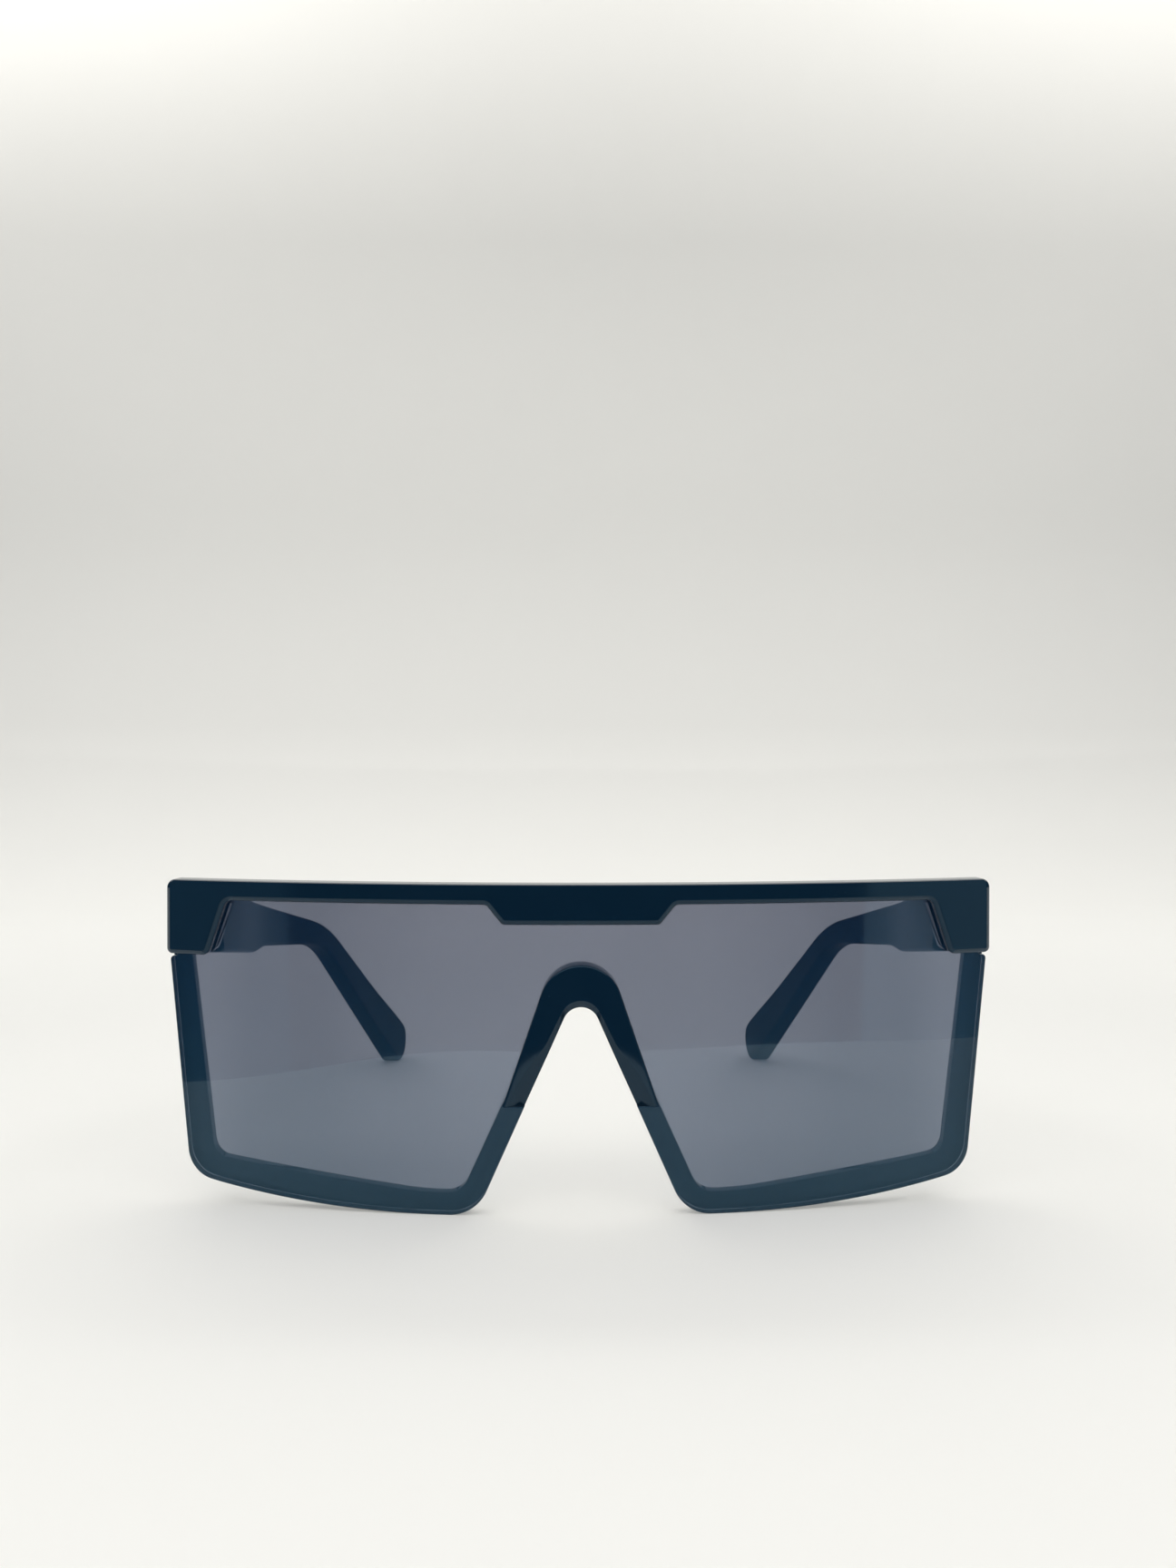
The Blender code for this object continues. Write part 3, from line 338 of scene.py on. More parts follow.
def sound_triangles(flat: Array, triangles: Array) -> Array:
    """Triangles without slivers along straight or slowly curving edges.

    A sliver has its wide angle at b, opposite its longest side from p to q. With the triangle
    across that side, whose third corner is x, it turns into p, x, b and x, q, b.

    Args:
        flat: The flat points.
        triangles: Rows of three indices, anticlockwise.

    Returns:
        The new triangles.
    """
    for _ in range(FLIP_ROUNDS):
        thin, longest = find_slivers(flat[triangles])
        across, side = neighbours(triangles, len(flat))
        rows = np.nonzero(thin)[0]
        other, edge = across[rows, longest[rows]], side[rows, longest[rows]]
        ready = np.nonzero((other >= 0) & ~thin[other])[0]
        if not len(ready):
            break
        ready = ready[np.unique(other[ready], return_index=True)[1]]
        rows, other, edge = rows[ready], other[ready], edge[ready]
        p, q, b = (triangles[rows, (longest[rows] + turn) % 3] for turn in range(3))
        x = triangles[other, (edge + 2) % 3]
        triangles[rows] = np.stack([p, x, b], axis=1)
        triangles[other] = np.stack([x, q, b], axis=1)
    return triangles


def grid_columns(reach: float) -> Array:
    """First coordinates of a face's grid, evenly from -reach to reach."""
    return np.arange(-reach, reach + COLUMN_STEP / 20, COLUMN_STEP)


def cap_triangles(loop: Array, columns: Array, pitch: float) -> tuple[Array, Array]:
    """Triangles that fill a loop, with grid points inside so that the face can curve.

    Args:
        loop: The loop's flat points.
        columns: First coordinates of the grid.
        pitch: Spacing of the grid along the second coordinate.

    Returns:
        The added flat points, and triangles whose indices count the loop first.
    """
    rows = np.arange(loop[:, 1].min() + pitch / 2, loop[:, 1].max(), pitch)
    grid = np.stack([axis.ravel() for axis in np.meshgrid(columns, rows)], axis=1)
    grid = grid[inside(grid, loop)]
    run = np.roll(loop, -1, axis=0) - loop
    offset = grid[:, None, :] - loop[None, :, :]
    share = np.clip(np.sum(offset * run, axis=2) / np.sum(run * run, axis=1), 0, 1)
    gaps = np.linalg.norm(offset - share[:, :, None] * run, axis=2).min(axis=1)
    grid = grid[gaps > CLEAR_SHARE * pitch]
    flat = np.concatenate([loop, grid]) * TO_MM
    count = len(loop)
    result = delaunay_2d_cdt([Vector(point) for point in flat], [], [list(range(count))], 1,
                             TOLERANCE, True)
    origin = np.array([ids[0] for ids in result[3]])
    triangles = origin[np.array([list(face) for face in result[2]])]
    triangles = triangles[np.all(triangles != np.roll(triangles, 1, axis=1), axis=1)]
    triangles = triangles[inner_triangles(triangles, count, len(flat))]
    return grid, sound_triangles(flat, triangles)


def slab(outline: Array, rings: Sequence[Ring], columns: Array, pitch: float,
         place: Callable[[Array, Array], Array]) -> tuple[Array, list]:
    """Closed plate: a profile of rings carried round an outline, and a filled face at each end.

    Args:
        outline: Anticlockwise outline.
        rings: Loops from the near face to the far face.
        columns: First coordinates of the faces' inner grid.
        pitch: Second spacing of that grid.
        place: Maps flat points and their depths into space.

    Returns:
        The points and faces.
    """
    normals = inward_normals(outline)
    count = len(outline)
    flats = [outline + normals * np.reshape(np.broadcast_to(ring.inset, (count,)), (-1, 1))
             for ring in rings]
    points = [place(flat, ring.level(flat)) for flat, ring in zip(flats, rings)]
    faces = band_faces(len(rings), count)
    total = count * len(rings)
    for index in (0, len(rings) - 1):
        grid, triangles = cap_triangles(flats[index], columns, pitch)
        faces += (triangles + np.where(triangles < count, index * count, total - count)).tolist()
        points.append(place(grid, rings[index].level(grid)))
        total += len(grid)
    return np.concatenate(points), faces


def band_faces(rings: int, count: int) -> list:
    """Four-sided faces between rings whose points follow each other.

    Args:
        rings: Number of rings.
        count: Points in each.

    Returns:
        Index lists.
    """
    here = np.arange(count)
    there = (here + 1) % count
    start = np.arange(rings - 1)[:, None] * count
    return np.stack([start + here, start + there, start + count + there, start + count + here],
                    axis=2).reshape(-1, 4).tolist()


def add_object(name: str, data: bpy.types.ID) -> Piece:
    """Put an object for a mesh, a light or a camera into the scene.

    Args:
        name: The object's name.
        data: The mesh, light or camera.

    Returns:
        The object.
    """
    item = bpy.data.objects.new(name, data)
    bpy.context.scene.collection.objects.link(item)
    return item


def make_piece(name: str, points: Array, faces: list, crease_deg: float = 32) -> Piece:
    """Mesh object from points and faces, merged, facing outwards and smooth but for its creases.

    Args:
        name: The object's name.
        points: Points in world metres.
        faces: Index lists.
        crease_deg: Edges that turn by more than this stay sharp.

    Returns:
        The new object, at the origin.
    """
    mesh = bpy.data.meshes.new(name)
    mesh.from_pydata(points.tolist(), [], faces)
    shape = bmesh.new()
    shape.from_mesh(mesh)
    bmesh.ops.remove_doubles(shape, verts=shape.verts, dist=MERGE)
    bmesh.ops.recalc_face_normals(shape, faces=shape.faces)
    shape.to_mesh(mesh)
    shape.free()
    mesh.shade_smooth()
    mesh.set_sharp_from_angle(angle=math.radians(crease_deg))
    return add_object(name, mesh)


@dataclass(frozen=True)
class Stance:
    """How the pair stands: leaned forward about X, then shifted onto the frame's origin."""

    lean: float = math.radians(3.044926)
    shift: Triple = (0.0, -0.070420, -0.000065)

    def place(self, points: Array) -> Array:
        """Turn points of the front's frame by the lean about X, and shift them.

        Args:
            points: Rows of (x, y, z).

        Returns:
            The points in the world.
        """
        x, y, z = np.moveaxis(points, -1, 0)
        cos, sin = math.cos(self.lean), math.sin(self.lean)
        return np.stack([x, y * cos - z * sin, y * sin + z * cos], axis=-1) + self.shift


# Shader maths

def operator(operation: str, reflected: bool = False) -> Callable:
    """Make a method that adds one Math node.

    Args:
        operation: What the node works out.
        reflected: Whether the other value comes first.

    Returns:
        The method.
    """
    def method(self: "Signal", other: "Signal | float") -> "Signal":
        """Add the node and give its result."""
        first, second = (other, self) if reflected else (self, other)
        return self.sheet.value("Math", {0: first, 1: second}, operation=operation)
    return method


class Signal:
    """A value socket on which Python's operators add Math nodes."""

    __add__, __radd__ = operator("ADD"), operator("ADD", True)
    __sub__, __rsub__ = operator("SUBTRACT"), operator("SUBTRACT", True)
    __mul__, __rmul__ = operator("MULTIPLY"), operator("MULTIPLY", True)
    above = operator("GREATER_THAN")  # 1 where the value is above a limit and 0 elsewhere.

    def __init__(self, sheet: "Sheet", socket: Socket) -> None:
        """Wrap an output socket of a sheet."""
        self.sheet, self.socket = sheet, socket


class Sheet:
    """A material's node tree, to which every node is added by one method.

    Its socket where gives the piece's own object coordinates, in metres.
    """

    def __init__(self, name: str) -> None:
        """Start an empty material.

        Args:
            name: Its name.
        """
        self.material = bpy.data.materials.new(name)
        self.material.use_nodes = True
        self.tree = self.material.node_tree
        self.tree.nodes.clear()
        self.where = self.add("TexCoord", {}).outputs["Object"]

    def add(self, kind: str, inputs: dict, **settings: str | bool) -> Node:
        """Add a node, set it up and join or fill its inputs.

        Args:
            kind: The node's type, without its first word ShaderNode.
            inputs: Values or links, by socket name or number.
            settings: Attributes to set first.

        Returns:
            The node.
        """
        node = self.tree.nodes.new("ShaderNode" + kind)
        for key, value in settings.items():
            setattr(node, key, value)
        for key, value in inputs.items():
            value = value.socket if isinstance(value, Signal) else value
            if isinstance(value, Socket):
                self.tree.links.new(value, node.inputs[key])
            else:
                node.inputs[key].default_value = value
        return node

    def value(self, kind: str, inputs: dict, **settings: str | bool) -> Signal:
        """Add a node and wrap its first output."""
        return Signal(self, self.add(kind, inputs, **settings).outputs[0])

    def axes(self) -> list[Signal]:
        """The three coordinates as values."""
        return [Signal(self, axis) for axis in self.add("SeparateXYZ", {0: self.where}).outputs]

    def noise(self, feature: float, detail: float = 3.0, roughness: float = 0.55,
              stretch: Triple = (1, 1, 1)) -> Signal:
        """Noise, about 0 to 1, with blobs of a real size that small stretch factors draw out."""
        mapped = self.add("Mapping", {"Vector": self.where, "Scale": stretch}).outputs[0]
        return self.value("TexNoise", {"Vector": mapped, "Scale": 1 / feature, "Detail": detail,
                                       "Roughness": roughness})

    def spread(self, value: Signal, low: float, high: float, start: float = 0.0,
               end: float = 1.0) -> Signal:
        """Map a value's range low..high to start..end, clamped."""
        return self.value("MapRange", {"Value": value, "From Min": low, "From Max": high,
                                       "To Min": start, "To Max": end}, clamp=True)

    def blend(self, factor: Signal | float, first: Triple | Socket,
              second: Triple | Socket) -> Socket:
        """Mix two colours, of which a factor of 0 gives the first and 1 the second."""
        sides = [side if isinstance(side, Socket) else (*side, 1.0) for side in (first, second)]
        return self.add("Mix", {0: factor, 6: sides[0], 7: sides[1]}, data_type="RGBA").outputs[2]

    def bump(self, height: Signal, depth: float) -> Socket:
        """Normal disturbed by a height from 0 to 1, where 1 stands for the depth in metres."""
        return self.add("Bump", {"Height": height, "Distance": depth}).outputs[0]

    def finish(self, shader: Socket) -> Material:
        """Join a shader to the output and hand the material over."""
        self.add("OutputMaterial", {"Surface": shader})
        return self.material


@dataclass(frozen=True)
class MouldedPlastic:
    """Black injection-moulded plastic with a polished or satin skin.

    Lengths are in metres. deep and gloss are the clean skin's colour and roughness, worn and
    dull those of the handled skin, and ripple and grain the depths of its slow waves and fine
    grain. The coat is a clear skin, which appears between the depths of coat_start and changes to
    its second weight between those of coat_end; where it lies, the colour turns towards a painted
    teal reflection. recess is roughness added behind recess_front, between the end blocks.
    """

    name: str
    deep: Triple
    worn: Triple
    gloss: float
    dull: float
    ripple: float
    grain: float
    shine: float
    coat: Pair = (0.0, 0.0)
    recess: float = 0.0
    painted_reflection: Triple = (0.0, 0.0, 0.0)
    coat_start: Pair = (-0.0556, -0.0536)
    coat_end: Pair = (-0.036, -0.012)
    recess_front: float = -0.0585
    block_x: float = 0.0668

    def dress(self) -> Material:
        """Build the material: slow ripples, fine grain, hairline rubs and a little dust.

        Returns:
            The material.
        """
        sheet = Sheet(self.name)
        handling = sheet.spread(sheet.noise(0.018, 4.0), 0.42, 0.72)
        rubs = sheet.spread(sheet.noise(0.0006, 2.0, 0.5, (0.08, 1.0, 1.0)), 0.62, 0.78)
        dust = sheet.spread(sheet.noise(0.0004, 1.0), 0.73, 0.80)
        colour = sheet.blend(handling * 0.6 + rubs * 0.15 + dust * 0.25, self.deep, self.worn)
        across, reach, _ = sheet.axes()
        between = 1 - (across * across).above(self.block_x ** 2)
        recess = reach.above(self.recess_front) * between * self.recess
        rough = handling * (self.dull - self.gloss) + rubs * 0.05 + dust * 0.18 + recess
        waves, grain = sheet.noise(0.007, 2.0, 0.4), sheet.noise(0.00035, 2.0, 0.5)
        depth = self.ripple + self.grain
        height = waves * (self.ripple / depth) + grain * (self.grain / depth)
        coat = sheet.spread(reach, *self.coat_end, *self.coat)
        coat = coat * sheet.spread(reach, *self.coat_start)
        # Where the coat lies, the base colour turns towards a painted teal reflection.
        shader = sheet.add("BsdfPrincipled", {
            "Base Color": sheet.blend(coat, colour, self.painted_reflection), "Roughness": rough + self.gloss,
            "Normal": sheet.bump(height, depth), "IOR": 1.49, "Specular IOR Level": self.shine,
            "Specular Tint": COOL, "Coat Weight": coat, "Coat Roughness": 0.30,
            "Coat Tint": COOL})
        return sheet.finish(shader.outputs[0])


@dataclass(frozen=True)
class SmokeTint:
    """Clear polished plastic with a smoke tint, as each of the lens's two faces shows it.

    A face lets light through with the colour passed. A share of it, the cover, shows the body's
    own shine and colour, lower at the bottom and upper from the height top; the lighter, greener
    lower colour is a painted reflection of the floor. The cover is thinner in the middle, and
    thicker in a band towards each side, a painted sheen; the band's four distances from the
    centre are where it starts, is full, fades and ends.
    """

    name: str
    passed: Triple
    upper: Triple
    lower: Triple
    cover: float
    top: float = 0.055
    middle: float = 0.045
    painted_sheen_flank: tuple[float, float, float, float] = (0.020, 0.044, 0.057, 0.064)

    def dress(self) -> Material:
        """Build the material: painted floor reflection and side sheen, faint smears, dust specks.

        Returns:
            The material.
        """
        sheet = Sheet(self.name)
        across, _, height = sheet.axes()
        square = across * across
        # Painted sheen: the cover dips at the centre and thickens in a band towards each side.
        start, full, end, gone = np.square(self.painted_sheen_flank)
        painted_sheen_flank = sheet.spread(square, start, full, 0.0, 0.035)
        painted_sheen_drift = sheet.spread(square, 0.0, self.middle ** 2, -0.03, 0.0)
        painted_sheen_drift = painted_sheen_drift + painted_sheen_flank * sheet.spread(square, end, gone, 1.0, 0.0)
        smear = sheet.spread(sheet.noise(0.022, 3.0, 0.5, (1.0, 1.0, 0.6)), 0.45, 0.75)
        dust = sheet.spread(sheet.noise(0.0005, 1.0), 0.80, 0.84)
        # Painted reflection of the floor: the colour is lighter and greener towards the bottom.
        colour = sheet.blend(sheet.spread(height, 0.0, self.top), self.lower, self.upper)
        body = sheet.add("BsdfPrincipled", {
            "Base Color": sheet.blend(dust * 0.25, colour, (0.30, 0.31, 0.33)),
            "Roughness": smear * 0.03 + dust * 0.2 + 0.015, "IOR": 1.5,
            "Specular IOR Level": 0.95, "Specular Tint": COOL})
        window = sheet.add("BsdfTransparent", {"Color": (*self.passed, 1.0)})
        mixed = sheet.add("MixShader", {0: smear * 0.01 + painted_sheen_drift + self.cover,
                                        1: window.outputs[0], 2: body.outputs[0]})
        return sheet.finish(mixed.outputs[0])


@dataclass(frozen=True)
class DrawnMetal:
    """Plain metal with the marks of drawing or turning, which stretch draws out.

    The clean metal is bright, the marks and the tarnish are dark, and rough is the least
    roughness.
    """

    name: str
    bright: Triple
    dark: Triple
    rough: float
    stretch: Triple

    def dress(self) -> Material:
        """Build the material: fine drawn marks over slow tarnish.

        Returns:
            The material.
        """
        sheet = Sheet(self.name)
        marks = sheet.noise(0.00012, 3.0, 0.6, self.stretch)
        tarnish = sheet.spread(sheet.noise(0.0016, 3.0), 0.4, 0.7)
        shader = sheet.add("BsdfPrincipled", {
            "Base Color": sheet.blend(marks * 0.4 + tarnish * 0.4, self.bright, self.dark),
            "Roughness": marks * 0.16 + tarnish * 0.12 + self.rough, "Metallic": 1.0,
            "Normal": sheet.bump(marks, 0.000006)})
        return sheet.finish(shader.outputs[0])


@dataclass(frozen=True)
class StudioPaper:
    """Matt white paper under and behind the pair, with a band of painted shade low on the wall."""

    name: str = "studio_paper"
    colour: Triple = (0.90, 0.90, 0.88)
    mottle: float = 0.985
    painted_shade_band: float = 0.15

    def dress(self) -> Material:
        """Build the material: an even matt white with the faintest mottle, and the painted shade.

        Returns:
            The material.
        """
        sheet = Sheet(self.name)
        height = sheet.axes()[2]
        # Painted shade: the paper darkens in a band that rises from the floor and fades up the
        # wall.
        painted_shade_band = sheet.spread(height, 0.01, 0.20) * sheet.spread(height, 0.45, 1.1, 1.0, 0.0)
        shade = tuple(value * self.mottle for value in self.colour)
        colour = sheet.blend(sheet.noise(0.12, 2.0), self.colour, shade)
        shader = sheet.add("BsdfPrincipled", {
            "Base Color": sheet.blend(painted_shade_band * self.painted_shade_band, colour, (0.0, 0.0, 0.0)),
            "Roughness": 0.75, "Specular IOR Level": 0.25})
        return sheet.finish(shader.outputs[0])


COOL = (0.54, 0.80, 1.0, 1.0)  # Tint of the reflections on plastic.
GLOSS_BLACK = MouldedPlastic("gloss_black_plastic", (0.0025, 0.0132, 0.0290),
                             (0.0035, 0.0152, 0.0320), 0.07, 0.12, 0.0000010, 0.00000002, 0.5,
                             recess=0.8)
# The satin temples' colour turns to a painted teal reflection near the hinges.
SATIN_BLACK = MouldedPlastic("satin_black_plastic", (0.0008, 0.0020, 0.0050),
                             (0.0015, 0.0035, 0.0080), 0.38, 0.46, 0.0000008, 0.00000010, 0.03,
                             (1.0, 0.0), painted_reflection=(0.0010, 0.034, 0.036))
# The smoke lens's third colour, used low down, is a painted reflection of the floor.
SMOKE = SmokeTint("smoke_lens", (0.800, 0.814, 0.892), (0.0020, 0.0160, 0.0490),
                  (0.0170, 0.0570, 0.0910), 0.49)
SMOKE_EDGE = SmokeTint("smoke_lens_edge", (0.50, 0.54, 0.62), (0.003, 0.009, 0.018),
                       (0.003, 0.009, 0.018), 0.96)
HINGE_METAL = DrawnMetal("hinge_nickel", (0.62, 0.61, 0.59), (0.40, 0.39, 0.38), 0.24,
                         (1.0, 1.0, 0.1))
SCREW_METAL = DrawnMetal("screw_steel", (0.68, 0.68, 0.69), (0.42, 0.42, 0.43), 0.20,
                         (0.2, 1.0, 1.0))


# Sub-assemblies

@dataclass
class FaceCurve:
    """The cylinder that the whole front follows.

    Its depth at x is R less the root of R squared less x squared.
    """

    radius: float = 0.2400

    def sagitta(self, x: Array | float) -> Array:
        """How far the curve lies behind its centre at a distance x from it."""
        return self.radius - np.sqrt(self.radius ** 2 - np.square(x))

    def place(self, flat: Array, depth: Array | float) -> Array:
        """Wrap flat (x, z) points with a depth behind the lens front onto the curve."""
        return np.column_stack([flat[:, 0], self.sagitta(flat[:, 0]) + depth, flat[:, 1]])


@dataclass
class FrontPiece:
    """A piece of the front, with the curve that it follows and the way the pair stands."""

    curve: FaceCurve
    stance: Stance


@dataclass
class BrowBar(FrontPiece):
    """Flat topped brow with its centre tab, its end blocks and the groove that takes the lens."""

    half_width: float = 0.0724
    top: float = 0.0560
    lip: float = 0.05255
    block_bottom: float = 0.0430
    block_foot_x: float = 0.0646
    block_head_x: float = 0.0612
    tab_head_x: float = 0.0159
    tab_foot_x: float = 0.0132
    tab_bottom: float = 0.0492
    front: float = -0.00196
    back: float = 0.0053
    edge_profile: tuple[Pair, ...] = (
        (0.00095, 0.0), (0.00082, 0.0), (0.00074, 0.00003), (0.00017, 0.00042), (0.00008, 0.00052),
        (0.00002, 0.00064), (0.0, 0.00080))
    rear_round: float = 0.0003
    top_fall: float = 0.0006
    top_crispness: float = 0.85
    block_wall: float = 0.0062
    block_depth: float = 0.0056
    inner_round: float = 0.0015
    groove_front: float = -0.00006
    groove_back: float = 0.00206
    groove_depth: float = 0.0010
    groove_end_x: float = 0.0712
    corner_rounds: tuple[float, ...] = (0.0016, 0.0010, 0.0014, 0.0016, 0.0012, 0.0012)
    top_band: float = 0.0021
    guard: float = 0.0002
    spacing: float = 0.0012
    pitch: float = 0.0020
    grid_reach: float = 0.071
    mark_offsets: Pair = (0.0008, 0.0003)
    grid_offsets: tuple[float, ...] = (0.0010, 0.0006, 0.0003, 0.0001)

    @property
    def seat_y(self) -> float:
        """Where the blocks' flat rear faces lie."""
        return float(self.curve.sagitta(self.half_width)) + self.block_depth

    def wall_columns(self, *offsets: float) -> Array:
        """Distances from the centre at offsets inside the blocks' wall, and across its step."""
        wall = self.half_width - self.block_wall
        return wall - np.array([self.inner_round, *offsets, EDGE, -EDGE])

    def outline(self) -> Array:
        """Front view of the bar, refined where its blocks and groove start and end.

        Returns:
            The outline's points as rows.
        """
        places = [(self.half_width, self.top), (self.half_width, self.block_bottom),
                  (self.block_foot_x, self.block_bottom), (self.block_head_x, self.lip),
                  (self.tab_head_x, self.lip), (self.tab_foot_x, self.tab_bottom)]
        half = [(x, z, radius) for (x, z), radius in zip(places, self.corner_rounds)]
        corners = [(0.0, self.top, 0.0), *half] + [(-x, z, radius) for x, z, radius in half[::-1]]
        ends = self.groove_end_x + np.array([-2, 2]) * EDGE
        marks = np.concatenate([self.wall_columns(*self.mark_offsets), ends])
        outline = rounded_outline(corners, 14)
        return densify(outline, self.spacing, np.concatenate([marks, -marks]))

    def rear_depth(self, drop: float, flat: Array) -> Array:
        """Depth of the rear face: even behind the brow, a fillet, then the block's flat seat.

        The fillet at a distance d past its start adds r - sqrt(r squared - d squared), and past
        the block's wall the depth is the seat's y less the curve's sagitta.

        Args:
            drop: Further depth, behind the face.
            flat: Flat points as rows.

        Returns:
            The depth at each.
        """
        x = np.abs(flat[:, 0])
        wall = self.half_width - self.block_wall
        into = np.clip(x - (wall - self.inner_round), 0, self.inner_round)
        rise = self.inner_round - np.sqrt(np.maximum(self.inner_round ** 2 - into ** 2, 0))
        return np.where(x > wall, self.seat_y - self.curve.sagitta(x), self.back + rise) + drop

    def build(self) -> Piece:
        """Carry the edge profile round the outline, crisper and set back along the top.

        Returns:
            The piece.
        """
        outline = self.outline()
        lower = outline[:, 1] < self.top - self.top_band
        groove = self.groove_depth * (lower & (np.abs(outline[:, 0]) < self.groove_end_x))
        upward = np.clip(-inward_normals(outline)[:, 1], 0, 1) ** 4
        fall = self.top_fall * upward
        rings = [Ring(inset * (1 - self.top_crispness * upward), flat_level(self.front + drop))
                 for inset, drop in self.edge_profile]
        near, far = flat_level(self.groove_front), flat_level(self.groove_back)
        rings += [Ring(0.0, near), Ring(groove, near), Ring(groove, far), Ring(fall * 0.6, far)]
        rear = edge_rings(self.rear_round, partial(partial, self.rear_depth), -1,
                          self.guard)[::-1]
        rings += [Ring(ring.inset + fall, ring.level) for ring in rear]
        extra = self.wall_columns(*self.grid_offsets)
        columns = np.concatenate([grid_columns(self.grid_reach), extra, -extra])
        points, faces = slab(outline, rings, columns, self.pitch, self.curve.place)
        return make_piece("brow_bar", self.stance.place(points), faces)


@dataclass
class RimRibbon(FrontPiece):
    """Rims behind the lens, the raised saddle bridge and the moulded nose pads, as one ribbon."""

    block_bottom: float = 0.0430
    top_x: float = 0.0723
    top: float = 0.0424
    corner_x: float = 0.0684
    corner_round: float = 0.0055
    bottom_radius: float = 0.2260
    lobe_x: float = 0.0240
    lobe_corner_x: float = 0.0177
    lobe_round: float = 0.0070
    nose_peak: float = 0.0397
    nose_round: float = 0.0031
    side_width: float = 0.0036
    corner_width: float = 0.0040
    corner_height: float = 0.0037
    bottom_height: float = 0.0031
    lobe_width: float = 0.0026
    saddle_peak: float = 0.0569
    open_rounds: tuple[tuple[float, int], ...] = (
        (0.0030, 24), (0.0600, 12), (0.0040, 30), (0.0180, 20), (0.0070, 80))
    dip_run: float = 0.0030
    hip_z: float = 0.0193
    hip_width: float = 0.0038
    seam_z: float = 0.0185
    seat: float = 0.00206
    back: float = 0.0043
    edge_round: float = 0.0004
    hidden_edge: float = 0.0001
    proud: float = 0.0004
    bevel_top: float = 0.0012
    bevel_drop: float = 0.0008
    bevel_drop_at_seam: float = 0.0016
    bevel_run: float = 0.55
    pad_reach: float = 0.0042
    peak_reach: float = 0.0010
    pad_low: float = 0.0080
    pad_high: float = 0.0345
    flare_share: float = 0.32
    heel_share: float = 0.08
    tail_rise: float = 0.0026
    tail_step: float = 0.0013
    tail_inset: float = 0.0011
    tail_sink: float = 0.0005
    seam_lift: float = 0.00005

    def rise(self, x: Array | float) -> Array:
        """Height of the bottom edge: an arc that touches the ground line at the lobe."""
        run = np.square(np.asarray(x) - self.lobe_x)
        return self.bottom_radius - np.sqrt(self.bottom_radius ** 2 - run)

    def stretches(self) -> dict[str, tuple[Array, Array, int]]:
        """Matched stretches of the right rim's two edges, from the end block to the saddle's peak.

        Returns:
            By name, the outer line, the opening's line and how many sections they get.
        """
        outer_top, nose_top = (self.top_x, self.top), (0, self.nose_peak)
        outer_corner = (self.corner_x, float(self.rise(self.corner_x)))
        arc_x = np.linspace(self.corner_x - self.corner_round, self.lobe_x, 40)
        arc = np.column_stack([arc_x, self.rise(arc_x)])
        turn = corner_arc(outer_top, outer_corner, arc[1], self.corner_round, 24)
        foot_x = self.lobe_corner_x
        lobe, peak = rounds([(self.lobe_x, 0), (foot_x, 0), nose_top, (-foot_x, 0)],
                            (self.lobe_round, 30), (self.nose_round, 60))
        open_top = (self.top_x - self.side_width, self.top)
        open_x = self.corner_x - self.corner_width
        open_corner = (open_x, float(self.rise(open_x)) + self.corner_height)
        dip = (self.lobe_x + self.dip_run, self.bottom_height)
        open_lobe = (foot_x + self.lobe_width, self.bottom_height)
        hip_x = foot_x * (1 - self.hip_z / self.nose_peak) + self.hip_width
        inner_turn, inner_floor, inner_lobe, inner_hip, inner_peak = rounds(
            [open_top, open_corner, dip, open_lobe, (hip_x, self.hip_z), (0, self.saddle_peak),
             (-hip_x, self.hip_z)], *self.open_rounds)
        bottom = np.concatenate([turn[-1:], arc[arc[:, 0] < turn[-1][0] - 0.0002], lobe[:1]])
        floor = np.concatenate([inner_turn[-1:], inner_floor, inner_lobe[:1]])
        nose = self.split(np.concatenate([lobe[-1:], peak[:31]]))
        climb = self.split(np.concatenate([inner_lobe[-1:], inner_hip, inner_peak[:41]]))
        return {
            "side": (np.array([outer_top, turn[0]]), np.array([open_top, inner_turn[0]]), 12),
            "corner": (turn, inner_turn, 20),
            "bottom": (bottom, floor, 36),
            "lobe": (lobe, inner_lobe, 22),
            "nose": (nose[0], climb[0], 34),
            "saddle": (nose[1], climb[1], 70),
        }

    def split(self, line: Array) -> tuple[Array, Array]:
        """Cut a rising line in two where it passes the seam's height.

        Args:
            line: The line's points as rows.

        Returns:
            The lower and the upper part.
        """
        above = int(np.argmax(line[:, 1] > self.seam_z))
        low, high = line[above - 1], line[above]
        cut = low + (high - low) * (self.seam_z - low[1]) / (high[1] - low[1])
        return np.concatenate([line[:above], [cut]]), np.concatenate([[cut], line[above:]])

